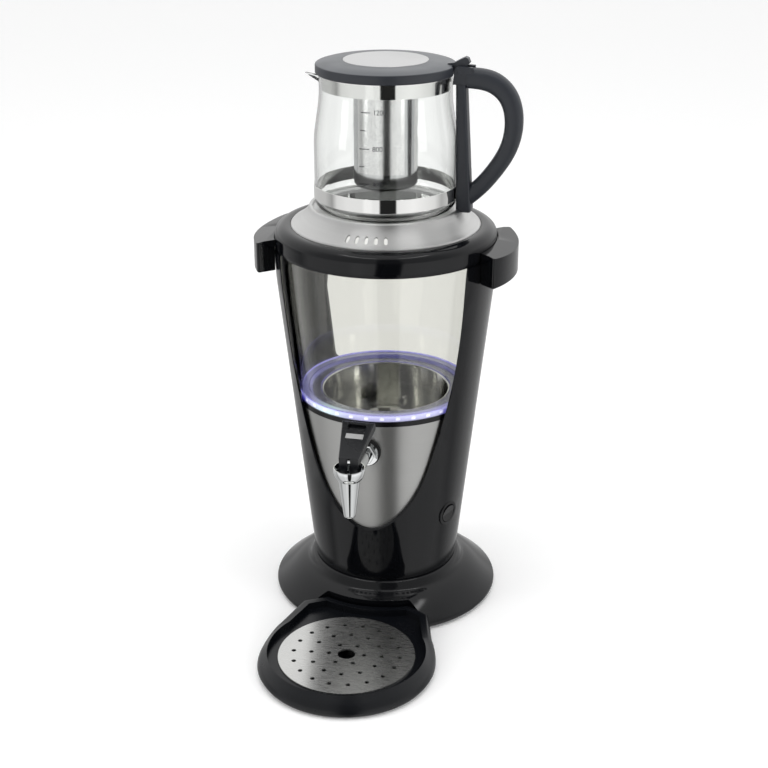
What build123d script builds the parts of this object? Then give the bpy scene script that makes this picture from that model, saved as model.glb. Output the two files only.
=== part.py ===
from build123d import *
from math import atan2, cos, degrees, pi, radians, sin
import os

# Electric glass samovar with a glass teapot on top. Millimetres, +Z up.
# The origin is on the body's axis at the table. The tap and the drip tray face -Y,
# and the teapot's handle points to +X.

# Clearances
SEAT = 0.1            # between fixed curved faces
LIFT_GAP = 0.4        # around a piece that is lifted or slid by hand
PIN_GAP = 0.05        # radial, between a pin and its hole
FIT_GAP = 0.3         # around a piece that turns or travels

# Foot and base plate
FOOT_RADIUS = 110.0
FOOT_RIM_HEIGHT = 5.0
FOOT_BOTTOM = 2.0
FOOT_WALL = 3.0
FOOT_DOME_TOP = 28.0
FOOT_COLLAR_RADIUS = 76.0
FOOT_RIM_WALL = 4.0
BOSS_RADIUS = 4.5
FOOT_BORE_TOP = 50.0
FOOT_BORE_RADIUS = 63.4
BASE_PLATE_THICKNESS = 2.5
BASE_PLATE_BOTTOM = 3.0
PAD_RADIUS = 9.0
PAD_RING_RADIUS = 92.0
PAD_ANGLES = (35.0, 145.0, 218.0, 322.0)
PAD_CHAMFER = 0.6
SCREW_RADIUS = 1.5
SCREW_HEAD_RADIUS = 3.0
SCREW_HEAD_HEIGHT = 1.7
BASE_SCREW_LENGTH = 12.0
BASE_SCREW_RING_RADIUS = 82.0
BASE_SCREW_ANGLES = (0.0, 60.0, 120.0, 180.0)
VENT_COUNT = 12
VENT_RING_RADIUS = 45.0
VENT_LENGTH = 22.0
VENT_WIDTH = 4.0

# Body shell, a cone that widens upwards
SHELL_BOTTOM = 38.0
SHELL_TOP = 354.5
SHELL_BEND = 320.0
SHELL_WALL = 3.5
SHELL_TAPER = 0.1104
SHELL_RADIUS_AT_60 = 73.0
SHELL_TOP_RADIUS = 103.3
SHELL_SPAN = 130.0
SPIGOT_HEIGHT = 6.0

# Front opening, as half widths at heights, and the rear window
FRONT_TIP = 95.0
FRONT_EDGE = ((36.1, 120.0), (59.3, 176.0), (74.5, 242.0), (83.0, 312.0))
FRONT_TOP_HALF_WIDTH = 86.0
FRONT_BEVEL = 1.5
REAR_BOTTOM = 212.0
REAR_BOTTOM_HALF_WIDTH = 66.0
REAR_TOP_HALF_WIDTH = 84.0
REAR_CORNER = 8.0

# Steel front panel
PANEL_THICKNESS = 1.0
PANEL_BOTTOM = 84.0
PANEL_HALF_ANGLE = 64.0
PANEL_MARGIN = 8.0

# Tank: cradle, lit ring, bowl and glass
CRADLE_BOTTOM = 206.5
CRADLE_SKIRT = 199.0
CRADLE_RADIUS = 85.5
FLANGE_BOTTOM = 209.8
LED_FLOOR = 208.4
RING_BOTTOM = 211.0
RING_TOP = 215.7
RING_RADIUS = 84.2
RING_STEP_RADIUS = 72.0
SEAL_THICKNESS = 0.8
GLASS_WALL = 3.0
GLASS_BOTTOM = RING_TOP + SEAL_THICKNESS
GLASS_BOTTOM_RADIUS = 84.0
GLASS_TOP = 358.0
GLASS_TOP_RADIUS = 97.8
BOWL_RADIUS = 60.0
BOWL_FLOOR = 156.0
BOWL_WALL = 1.0
BOWL_RIM = 212.4
BOWL_CORNER = 12.0
BOWL_FLANGE_RADIUS = 75.0
LEDGE_HEIGHT = 4.0
LEDGE_WIDTH = 5.0
LED_COUNT = 36
LED_RING_RADIUS = 79.5
LED_BOARD_WIDTH = 4.4
LED_BOARD_THICKNESS = 1.0
LED_SIZE = 2.6
LED_HEIGHT = 1.0

# Top ring and carrying handles
TOP_RING_RADIUS = 103.0
TOP_RING_TOP = 376.4
TOP_RING_BORE = 81.5
RING_SKIRT_RADIUS = 90.8
SKIRT_DEPTH = 5.0
LID_SEAT_RADIUS = 88.4
LID_SEAT = 373.5
HANDLE_BOTTOM = 335.0
HANDLE_TOP = 364.5
HANDLE_REACH = 123.4
HANDLE_CORNER = (109.0, 51.0)
HANDLE_INNER_HALF = 39.6
HANDLE_SLOPE = 0.17
HANDLE_CORNER_ROUND = 2.0
HANDLE_TOP_ROUND = 2.4
HANDLE_SCREW_BITE = 10.0
HANDLE_SCREW_HEIGHT = 344.0
HANDLE_SCREW_SPREAD = 13.0

# Steel tank lid, which carries the pot
TANK_LID_SHEET = 1.0
TANK_LID_RADIUS = 87.8
POT_BASE = 392.0
SADDLE_RIM_RADIUS = 68.2
SADDLE_RIM_TOP = POT_BASE + 2.4
SLOT_COUNT = 5
SLOT_PITCH = 6.2
SLOT_RING_RADIUS = 79.5
SLOT_LENGTH = 6.6
SLOT_WIDTH = 3.2

# Teapot
POT_RADIUS = 65.0
POT_WALL = 2.2
POT_SHOULDER = 450.0
POT_NECK_RADIUS = 59.8
POT_RIM = 513.0
POT_NECK = POT_RIM - 13.0
POT_BOTTOM_ROUND = 8.5
POT_FLOOR = 3.0
LIP_REACH = 74.0
LIP_HALF_WIDTH = 11.0
LIP_DROP = 11.0
LIP_DIP = 2.0
BAND_BOTTOM = POT_BASE + 10.5
BAND_TOP = BAND_BOTTOM + 12.3
BAND_THICKNESS = 0.6
GRIP_WIDTH = 17.0
GRIP_DEPTH = 16.5
GRIP_ROUND = 6.0
GRIP_PATH = ((73.0, 16.5), (91.5, 27.0), (109.2, 52.5), (116.5, 83.5), (110.0, 105.5), (96.0, 118.5),
             (76.0, 122.2))
GRIP_LOW = 6.0
STRAP_NARROW = POT_RIM - 21.0
STRAP_OUT = 77.0
HINGE_X = 67.5
HINGE_Z = POT_RIM + 5.0
HINGE_PIN_RADIUS = 1.5
KNUCKLE_RADIUS = 3.6
TAB_WIDTH = 8.0
THUMB_TAB = ((-13.5, 2.4), (-11.0, 6.6), (-5.4, 7.4), (0.8, 10.8), (4.3, 12.4), (6.8, 11.4), (8.5, 7.4),
             (3.6, 2.6))
TAB_SWEEP_RADIUS = 14.2
SLOT_FLOOR = HINGE_Z - 8.2

# Pot lid and infuser
LID_RADIUS = 63.0
LID_BOTTOM = POT_RIM + 1.1
LID_EDGE_TOP = LID_BOTTOM + 8.5
LID_CROWN = LID_EDGE_TOP + 2.8
LID_HINGE_FLAT = 60.6
DISC_RADIUS = 38.2
DISC_THICKNESS = 1.2
COLLAR_SHEET = 0.8
COLLAR_BOTTOM = POT_RIM - 12.0
INFUSER_RADIUS = 29.0
INFUSER_BOTTOM = 413.0
INFUSER_SHEET = 0.6

# Tap
TAP_REACH = 150.0
TAP_HEIGHT = 180.0
STEM_RADIUS = 6.5
SHANK_RADIUS = 6.2
SHANK_END = 68.0
BODY_RADIUS = 14.2
BODY_FOOT_RADIUS = 11.4
BODY_BOTTOM = TAP_HEIGHT + 4.0
BODY_TOP = TAP_HEIGHT + 15.6
CUP_FLOOR = TAP_HEIGHT + 8.8
CUP_FLOOR_RADIUS = 11.9
CUP_TOP_RADIUS = 13.2
BONNET_TOP = CUP_FLOOR + 1.2
BONNET_PLUG = 4.3
VALVE_SEAT = TAP_HEIGHT - 5.0
CHAMBER_RADIUS = 6.0
NOZZLE_TOP_RADIUS = 10.0
NOZZLE_TIP_RADIUS = 5.3
NOZZLE_SEAM = TAP_HEIGHT - 12.0
NOZZLE_TIP = TAP_HEIGHT - 33.0
NOZZLE_BORE = 3.6
GASKET_RADIUS = 13.5
GASKET_SHOW = 2.0
NUT_FLANGE_RADIUS = 12.2
NUT_FLANGE = 2.0
NUT_RADIUS = 10.0
NUT_THICKNESS = 5.5
LOCKNUT_RADIUS = 10.0
LOCKNUT_THICKNESS = 4.0
ELBOW_LENGTH = 12.0
HOSE_Y = 70.0
HOSE_RADIUS = 5.0
HOSE_BORE = 3.5
HOSE_TOP = TAP_HEIGHT - 10.0
HOSE_LOW = TAP_HEIGHT - 48.0
HOSE_BEND = 11.0
HOSE_PORT_Y = -21.0
PORT_RADIUS = 3.4
PORT_BORE = 2.6
PORT_LENGTH = 14.0

# Tap lever and plunger, with heights above the lever's pin
LEVER_PIN_HEIGHT = BONNET_TOP + 7.0
LEVER_PIN_RADIUS = 1.4
LEVER_LEAN = 65.0
LEVER_FACE = 9.1
LEVER_LENGTH = 44.6
LEVER_TIP_DEPTH = 9.0
LEVER_TIP_ROUND = 1.4
LEVER_EDGE_ROUND = 0.7
LEVER_TIP_WIDTH = 30.0
LEVER_HUB_WIDTH = 17.6
LEVER_FRONT = 3.0
CHEEK_GAP = 2.8
CHEEK_SLOT_BACK = 5.5
CHEEK_SLOT_TOP = 7.8
THUMB_SLOT = (37.3, 16.6, 6.0)
THUMB_SLOT_DEPTH = 3.0
PLATE_INLAY = (26.6, 16.0, 5.6)
INLAY_THICKNESS = 0.8
CAM_BASE = LEVER_PIN_HEIGHT - BONNET_TOP
CAM_LIFT = 1.8
CAM_SWING = 25.0
CAM_GAP = 0.02
TONGUE_TOP = 6.5
TONGUE_WIDTH = 4.2
PLUNGER_RADIUS = 2.4

# Power switch, cord gland and what heats the water
SWITCH_ANGLE = 63.3
SWITCH_HEIGHT = 99.0
SWITCH_BEZEL_RADIUS = 12.5
SWITCH_HOLE_RADIUS = 10.0
ROCKER_RADIUS = 8.6
ROCKER_PIVOT_DEPTH = 4.0
SWITCH_POCKET = 1.2
SWITCH_PROUD = 0.5
SWITCH_DEPTH = 11.0
ROCKER_HEEL = 2.0
ROCKER_TOP = 5.2
ROCKER_DISH = 0.8
ROCKER_TILT = 6.0
GLAND_HEIGHT = 58.0
GLAND_RADIUS = 7.5
GLAND_BORE = 3.6
GLAND_LENGTH = 14.0
ELEMENT_RING_RADIUS = 36.0
ELEMENT_TUBE_RADIUS = 3.6
ELEMENT_OPEN_ANGLE = 70.0
HEATER_TOP = BOWL_FLOOR - BOWL_WALL
HEATER_THICKNESS = 2.0
THERMOSTAT_RADIUS = 9.5
PROBE_HEIGHT = 172.0
PROBE_RADIUS = 4.5
PROBE_ANGLE = 85.0
PROBE_HEAD = 3.0
PROBE_SHANK_RADIUS = 2.5

# Drip tray
TRAY_CENTRE_Y = -168.0
TRAY_RADIUS = 82.0
TRAY_BOTTOM = 0.4
TRAY_TOP = 19.0
TRAY_FLOOR = 12.5
TRAY_RIM = 9.0
TRAY_ROUND = 4.0
TRAY_NECK = ((72.5, -130.0), (62.0, -92.0), (40.0, -79.0))
TRAY_BACK_RADIUS = 88.5
WELL_RADIUS = 60.0
WELL_FLOOR = 3.4
PLATE_RADIUS = 62.9
PLATE_THICKNESS = 1.5
PLATE_HOLE_RADIUS = 2.1
PLATE_CENTRE_HOLE = 8.1
PLATE_RINGS = ((16.2, 6), (32.6, 12), (49.0, 18))
PLATE_TURN = 5.4

os.makedirs("parts", exist_ok=True)


def shell_radius(height):
    """Outer radius of the body's cone at a height."""
    return SHELL_RADIUS_AT_60 + (height - 60.0) * SHELL_TAPER


def glass_radius(height):
    """Outer radius of the tank glass at a height."""
    share = (height - RING_TOP) / (GLASS_TOP - RING_TOP)
    return GLASS_BOTTOM_RADIUS + share * (GLASS_TOP_RADIUS - GLASS_BOTTOM_RADIUS)


def panel_radius(height):
    """Outer radius of the front panel's cone at a height."""
    return shell_radius(height) - SHELL_WALL - SEAT


def nozzle_radius(height):
    """Outer radius of the tap's spout at a height."""
    share = (height - NOZZLE_TIP) / (BODY_BOTTOM - NOZZLE_TIP)
    return NOZZLE_TIP_RADIUS + share * (NOZZLE_TOP_RADIUS - NOZZLE_TIP_RADIUS)


def polar(radius, angle, height):
    """Point at a radius and an angle from +X, at a height."""
    return (radius * cos(radians(angle)), radius * sin(radians(angle)), height)


def radial_plane(angle):
    """Upright plane through the body's axis, its x pointing outward at an angle from +X."""
    return Plane(origin=(0, 0, 0), x_dir=polar(1, angle, 0), z_dir=polar(1, angle - 90, 0))


def on_outer_face(edge):
    """True for an edge on the outside of the shell."""
    middle = edge @ 0.5
    return (middle.X ** 2 + middle.Y ** 2) ** 0.5 > shell_radius(middle.Z) - SHELL_WALL / 2


def opening_points(margin):
    """Points of the front U from its left top round to its right top, widened by a margin."""
    top = (FRONT_TOP_HALF_WIDTH + margin, SHELL_TOP + 5)
    side = [(x + margin * sin(pi * (z - FRONT_TIP) / 300), z - margin * cos(pi * (z - FRONT_TIP) / 300))
            for x, z in FRONT_EDGE]
    left = [(-x, z) for x, z in reversed(side + [top])]
    return left + [(0, FRONT_TIP - margin)] + side + [top]


def lip_points(inner, half_width, reach):
    """Corners of the pouring lip's plan at one height, pointing to -X."""
    tip = half_width / 6
    return ((-inner, half_width), (-inner, -half_width), (-reach, -tip), (-reach, tip))


def cam_point(turn):
    """Point of the lever's side view where its heel meets the bonnet, pressed down by a turn in degrees."""
    angle = radians(turn)
    arm = CAM_LIFT / radians(CAM_SWING)
    height = CAM_BASE - CAM_GAP + arm * angle
    return (-TAP_REACH + height * sin(angle) + arm * cos(angle),
            LEVER_PIN_HEIGHT - height * cos(angle) + arm * sin(angle))


def lever_along(distance, forward):
    """Point of the lever's side view at a distance up its leaning centre line and an offset to the front."""
    lean = radians(LEVER_LEAN)
    along_y = distance * sin(lean) - forward * cos(lean)
    along_z = distance * cos(lean) + forward * sin(lean)
    return (-TAP_REACH + along_y, LEVER_PIN_HEIGHT + along_z)


def save(piece, name):
    """Name a finished piece and write it."""
    piece.part.label = name
    export_step(piece.part, f"parts/{name}.step")


# Planes and axes that several pieces share
ON_FLOOR = (Align.CENTER, Align.CENTER, Align.MIN)
BELOW = (Align.CENTER, Align.CENTER, Align.MAX)
switch_slope = degrees(atan2(SHELL_TAPER, 1))
switch_level = Vector(*polar(1, SWITCH_ANGLE - 90, 0))
switch_out = switch_level * cos(radians(switch_slope)) - Vector(0, 0, sin(radians(switch_slope)))
switch_plane = Plane(origin=polar(shell_radius(SWITCH_HEIGHT), SWITCH_ANGLE - 90, SWITCH_HEIGHT),
                     x_dir=polar(1, SWITCH_ANGLE, 0), z_dir=switch_out)
switch_axis = Axis(switch_plane.origin, switch_out)
tap_section = Plane(origin=(0, -TAP_REACH, 0), x_dir=(1, 0, 0), z_dir=(0, -1, 0))
tap_axis = Axis((0, -TAP_REACH, 0), (0, 0, 1))
lever_plane = Plane(origin=(0, -TAP_REACH, LEVER_PIN_HEIGHT), x_dir=(1, 0, 0),
                    z_dir=(0, -cos(radians(LEVER_LEAN)), sin(radians(LEVER_LEAN))))
gland_face = shell_radius(GLAND_HEIGHT) + 3.5

# Plan of the drip tray: a round front with a neck that narrows into the foot
neck_front, neck_rim, neck_corner = TRAY_NECK
with BuildSketch() as tray_plan:
    with BuildLine():
        right_side = Polyline(neck_front, neck_rim, neck_corner)
        back_edge = ThreePointArc(neck_corner, (0, -TRAY_BACK_RADIUS), (-neck_corner[0], neck_corner[1]))
        left_side = Polyline(*[(-x, y) for x, y in reversed(TRAY_NECK)])
        front_edge = ThreePointArc((-neck_front[0], neck_front[1]), (0, TRAY_CENTRE_Y - TRAY_RADIUS),
                                   neck_front)
    make_face()
    fillet(tray_plan.vertices().group_by(Axis.Y)[-1], 3)

# Hollow of the foot, kept clear of the walls around the tray's neck
with BuildPart() as foot_hollow:
    with BuildSketch(Plane.XZ):
        with BuildLine():
            rim_wall = Line((0, 0), (FOOT_RADIUS - FOOT_RIM_WALL, 0))
            rim_top = Polyline(rim_wall @ 1,
                               (FOOT_RADIUS - FOOT_RIM_WALL, BASE_PLATE_BOTTOM + BASE_PLATE_THICKNESS),
                               (FOOT_RADIUS - 2 * FOOT_RIM_WALL, FOOT_RIM_HEIGHT + 2.5))
            dome_in = Spline(rim_top @ 1, (90.0, 18.5), (77.0, FOOT_DOME_TOP - FOOT_WALL - 1))
            Polyline(dome_in @ 1, (FOOT_BORE_RADIUS, FOOT_DOME_TOP + 5), (FOOT_BORE_RADIUS, FOOT_BORE_TOP),
                     (0, FOOT_BORE_TOP), (0, 0))
        make_face()
    revolve(axis=Axis.Z)
    with BuildSketch():
        add(tray_plan.sketch)
        offset(amount=LIFT_GAP + FOOT_WALL, mode=Mode.REPLACE)
    extrude(amount=FOOT_BORE_TOP, mode=Mode.SUBTRACT)
    for angle in BASE_SCREW_ANGLES:
        with Locations(polar(BASE_SCREW_RING_RADIUS, angle, BASE_PLATE_BOTTOM + BASE_PLATE_THICKNESS)):
            Cylinder(BOSS_RADIUS, FOOT_BORE_TOP, align=ON_FLOOR, mode=Mode.SUBTRACT)

# Foot: a moulded dome with a rounded rim and a collar under the body
with BuildPart() as foot_shell:
    with BuildSketch(Plane.XZ):
        with BuildLine():
            Line((0, FOOT_BOTTOM), (FOOT_RADIUS - 2.4, FOOT_BOTTOM))
            rim = ThreePointArc((FOOT_RADIUS - 2.4, FOOT_BOTTOM), (FOOT_RADIUS, FOOT_RIM_HEIGHT),
                                (FOOT_RADIUS - 1.4, 8.4))
            dome = Spline(rim @ 1, (92, 21.4), (79.5, FOOT_DOME_TOP), tangents=(rim % 1, (-1.0, 0.35)))
            bead = Spline(dome @ 1, (FOOT_COLLAR_RADIUS - 0.6, 32.2), (72.2, 36.4),
                          tangents=((-1.0, 0.35), (-0.9, 0.5)))
            Polyline(bead @ 1, (70.0, 36.8), (70.0, SHELL_BOTTOM), (66.5, SHELL_BOTTOM),
                     (66.5, SHELL_BOTTOM + SPIGOT_HEIGHT), (0, SHELL_BOTTOM + SPIGOT_HEIGHT),
                     (0, FOOT_BOTTOM))
        make_face()
    revolve(axis=Axis.Z)
    add(foot_hollow.part, mode=Mode.SUBTRACT)
    with BuildSketch():
        add(tray_plan.sketch)
        offset(amount=LIFT_GAP, mode=Mode.REPLACE)
    extrude(amount=FOOT_BORE_TOP, mode=Mode.SUBTRACT)
    for angle in BASE_SCREW_ANGLES:
        with Locations(polar(BASE_SCREW_RING_RADIUS, angle, BASE_PLATE_BOTTOM)):
            Cylinder(SCREW_RADIUS + PIN_GAP, BASE_SCREW_LENGTH + 1, align=ON_FLOOR, mode=Mode.SUBTRACT)
save(foot_shell, "foot_shell")

# Base plate: closes the foot from below, with vent slots and countersunk screw holes
with BuildPart() as base_plate:
    with BuildSketch():
        Circle(FOOT_RADIUS - FOOT_RIM_WALL - SEAT)
        with PolarLocations(VENT_RING_RADIUS, VENT_COUNT):
            SlotOverall(VENT_LENGTH, VENT_WIDTH, mode=Mode.SUBTRACT)
    extrude(amount=BASE_PLATE_BOTTOM + BASE_PLATE_THICKNESS)
    Cylinder(FOOT_RADIUS, BASE_PLATE_BOTTOM, align=ON_FLOOR, mode=Mode.SUBTRACT)
    with BuildSketch():
        add(tray_plan.sketch)
        offset(amount=LIFT_GAP + FOOT_WALL + SEAT, mode=Mode.REPLACE)
    extrude(amount=FOOT_BORE_TOP, mode=Mode.SUBTRACT)
    for angle in BASE_SCREW_ANGLES:
        with Locations(Plane(origin=polar(BASE_SCREW_RING_RADIUS, angle, BASE_PLATE_BOTTOM),
                             z_dir=(0, 0, -1))):
            CounterSinkHole(SCREW_RADIUS + FIT_GAP, SCREW_HEAD_RADIUS + FIT_GAP, depth=10)
save(base_plate, "base_plate")

# Screws that hold the base plate to the foot's bosses
with BuildPart() as base_screws:
    for angle in BASE_SCREW_ANGLES:
        with Locations(polar(BASE_SCREW_RING_RADIUS, angle, BASE_PLATE_BOTTOM + SEAT)):
            Cone(SCREW_HEAD_RADIUS, SCREW_RADIUS, SCREW_HEAD_HEIGHT, align=ON_FLOOR)
            Cylinder(SCREW_RADIUS, BASE_SCREW_LENGTH, align=ON_FLOOR)
save(base_screws, "base_screws")

# Rubber pads that the samovar stands on: four near the rim and one in the middle
with BuildPart() as rubber_feet:
    Cylinder(PAD_RADIUS, BASE_PLATE_BOTTOM, align=ON_FLOOR)
    for angle in PAD_ANGLES:
        with Locations(polar(PAD_RING_RADIUS, angle, 0)):
            Cylinder(PAD_RADIUS, BASE_PLATE_BOTTOM, align=ON_FLOOR)
    chamfer(rubber_feet.edges().group_by(Axis.Z)[0], PAD_CHAMFER)
save(rubber_feet, "rubber_feet")

# Outline of the front opening: a tall U seen from the front
with BuildSketch(Plane.XZ) as front_opening:
    with BuildLine():
        u_edge = Spline(*opening_points(0), tangents=((0.06, -1), (0.06, 1)))
        Line(u_edge @ 1, u_edge @ 0)
    make_face()

# Body shell: the black cone with its two pillars, the front U, the rear window and an inner ledge
with BuildPart() as body_shell:
    with BuildSketch(Plane.XZ):
        with BuildLine():
            outer = Line((shell_radius(SHELL_BOTTOM), SHELL_BOTTOM), (shell_radius(SHELL_BEND), SHELL_BEND))
            outer_top = TangentArc(outer @ 1, (SHELL_TOP_RADIUS, SHELL_TOP), tangent=outer % 1)
            Line(outer_top @ 1, (SHELL_TOP_RADIUS - SHELL_WALL, SHELL_TOP))
            inner_top = TangentArc((shell_radius(SHELL_BEND) - SHELL_WALL, SHELL_BEND),
                                   (SHELL_TOP_RADIUS - SHELL_WALL, SHELL_TOP), tangent=outer % 1)
            Line(inner_top @ 0, (shell_radius(SHELL_BOTTOM) - SHELL_WALL, SHELL_BOTTOM))
            Line((shell_radius(SHELL_BOTTOM) - SHELL_WALL, SHELL_BOTTOM), outer @ 0)
        make_face()
    revolve(axis=Axis.Z)
    extrude(front_opening.sketch, amount=SHELL_SPAN, mode=Mode.SUBTRACT)
    chamfer(body_shell.edges(Select.LAST).filter_by(GeomType.BSPLINE).filter_by(on_outer_face), FRONT_BEVEL)
    with BuildSketch(Plane.XZ):
        with BuildLine():
            Polyline((REAR_BOTTOM_HALF_WIDTH, REAR_BOTTOM), (REAR_TOP_HALF_WIDTH, SHELL_TOP + 5),
                     (-REAR_TOP_HALF_WIDTH, SHELL_TOP + 5), (-REAR_BOTTOM_HALF_WIDTH, REAR_BOTTOM),
                     close=True)
        rear_face = make_face()
        fillet(rear_face.vertices().group_by(Axis.Z)[0], REAR_CORNER)
    extrude(amount=-SHELL_SPAN, mode=Mode.SUBTRACT)
    ledge_radius = shell_radius(CRADLE_BOTTOM) - SHELL_WALL
    with BuildSketch(radial_plane(PANEL_HALF_ANGLE - 90)):
        with Locations((ledge_radius + 0.5, CRADLE_BOTTOM)):
            Rectangle(LEDGE_WIDTH, LEDGE_HEIGHT, align=(Align.MAX, Align.MAX))
    revolve(axis=Axis.Z, revolution_arc=360 - 2 * PANEL_HALF_ANGLE)
    with BuildSketch(switch_plane):
        Circle(SWITCH_BEZEL_RADIUS + SEAT)
    extrude(amount=-SWITCH_POCKET, mode=Mode.SUBTRACT)
    with BuildSketch(switch_plane):
        Circle(SWITCH_HOLE_RADIUS + SEAT)
    extrude(amount=-2 * SHELL_WALL, mode=Mode.SUBTRACT)
    with BuildSketch(Plane.XZ):
        with Locations((0, GLAND_HEIGHT)):
            Circle(GLAND_RADIUS + SEAT)
    extrude(amount=-SHELL_SPAN, mode=Mode.SUBTRACT)
    with BuildSketch(Plane.YZ):
        with Locations((HANDLE_SCREW_SPREAD, HANDLE_SCREW_HEIGHT),
                       (-HANDLE_SCREW_SPREAD, HANDLE_SCREW_HEIGHT)):
            Circle(SCREW_RADIUS + FIT_GAP)
    extrude(amount=SHELL_SPAN, both=True, mode=Mode.SUBTRACT)
save(body_shell, "body_shell")

# Front panel: brushed steel sheet behind the U, bent to the cone and holed for the tap
with BuildPart() as front_panel:
    with BuildSketch(Plane.XZ):
        with BuildLine():
            panel_top = CRADLE_BOTTOM - SEAT
            Polyline((panel_radius(PANEL_BOTTOM), PANEL_BOTTOM), (panel_radius(panel_top), panel_top),
                     (panel_radius(panel_top) - PANEL_THICKNESS, panel_top),
                     (panel_radius(PANEL_BOTTOM) - PANEL_THICKNESS, PANEL_BOTTOM), close=True)
        make_face()
    revolve(axis=Axis.Z)
    with BuildSketch(Plane.XZ):
        with BuildLine():
            panel_edge = Spline(*opening_points(PANEL_MARGIN), tangents=((0.06, -1), (0.06, 1)))
            Line(panel_edge @ 1, panel_edge @ 0)
        make_face()
    extrude(amount=SHELL_SPAN, mode=Mode.INTERSECT)
    with BuildSketch(Plane.XZ):
        with Locations((0, TAP_HEIGHT)):
            Circle(SHANK_RADIUS + FIT_GAP)
    extrude(amount=SHELL_SPAN, mode=Mode.SUBTRACT)
save(front_panel, "front_panel")

# Cradle: the black ring on the shell's ledge that carries the bowl, the lights and the glass
with BuildPart() as tank_cradle:
    with BuildSketch(Plane.XZ):
        with BuildLine():
            Polyline((BOWL_RADIUS + BOWL_WALL + 1.4, FLANGE_BOTTOM), (BOWL_FLANGE_RADIUS + 1, FLANGE_BOTTOM),
                     (BOWL_FLANGE_RADIUS + 1, LED_FLOOR), (CRADLE_RADIUS - 3, LED_FLOOR),
                     (CRADLE_RADIUS - 3, RING_BOTTOM), (CRADLE_RADIUS, RING_BOTTOM),
                     (CRADLE_RADIUS, CRADLE_BOTTOM), (BOWL_RADIUS + 7, CRADLE_BOTTOM),
                     (BOWL_RADIUS + 5, CRADLE_SKIRT), (BOWL_RADIUS + BOWL_WALL + 1.4, CRADLE_SKIRT),
                     close=True)
        make_face()
    revolve(axis=Axis.Z)
save(tank_cradle, "tank_cradle")

# Light board under the clear ring, and its lamps
with BuildPart() as led_board:
    with BuildSketch(Plane.XY.offset(LED_FLOOR)):
        Circle(LED_RING_RADIUS + LED_BOARD_WIDTH / 2)
        Circle(LED_RING_RADIUS - LED_BOARD_WIDTH / 2, mode=Mode.SUBTRACT)
    extrude(amount=LED_BOARD_THICKNESS)
save(led_board, "led_board")

with BuildPart() as leds:
    with Locations((0, 0, LED_FLOOR + LED_BOARD_THICKNESS)):
        with PolarLocations(LED_RING_RADIUS, LED_COUNT):
            Box(LED_SIZE, LED_SIZE, LED_HEIGHT, align=ON_FLOOR)
save(leds, "leds")

# Clear ring that spreads the light, stepped down towards the bowl
with BuildPart() as light_ring:
    with BuildSketch(Plane.XZ):
        with BuildLine():
            Polyline((BOWL_RADIUS + 2.8, RING_BOTTOM), (BOWL_RADIUS + 2.8, RING_BOTTOM + 2.2),
                     (RING_STEP_RADIUS - 1, RING_BOTTOM + 2.2), (RING_STEP_RADIUS + 1.5, RING_TOP),
                     (RING_RADIUS - 0.4, RING_TOP), (RING_RADIUS, RING_TOP - 0.4), (RING_RADIUS, RING_BOTTOM),
                     close=True)
        make_face()
    revolve(axis=Axis.Z)
save(light_ring, "light_ring")

# Seal between the clear ring and the glass
with BuildPart() as lower_seal:
    with BuildSketch(Plane.XY.offset(RING_TOP)):
        Circle(GLASS_BOTTOM_RADIUS - 0.5)
        Circle(GLASS_BOTTOM_RADIUS - GLASS_WALL - 0.5, mode=Mode.SUBTRACT)
    extrude(amount=SEAL_THICKNESS)
save(lower_seal, "lower_seal")

# Tank glass: a clear cone, open at both ends
with BuildPart() as tank_glass:
    with BuildSketch(Plane.XZ):
        with BuildLine():
            Polyline((GLASS_BOTTOM_RADIUS, GLASS_BOTTOM), (GLASS_TOP_RADIUS, GLASS_TOP),
                     (GLASS_TOP_RADIUS - GLASS_WALL, GLASS_TOP),
                     (GLASS_BOTTOM_RADIUS - GLASS_WALL, GLASS_BOTTOM),
                     close=True)
        make_face()
    revolve(axis=Axis.Z)
    fillet(tank_glass.edges().group_by(Axis.Z)[-1], GLASS_WALL / 4)
save(tank_glass, "tank_glass")

# Seal between the glass and the top ring
with BuildPart() as upper_seal:
    with BuildSketch(Plane.XY.offset(GLASS_TOP)):
        Circle(GLASS_TOP_RADIUS + 0.5)
        Circle(GLASS_TOP_RADIUS - GLASS_WALL - 0.3, mode=Mode.SUBTRACT)
    extrude(amount=SEAL_THICKNESS)
save(upper_seal, "upper_seal")

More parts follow.
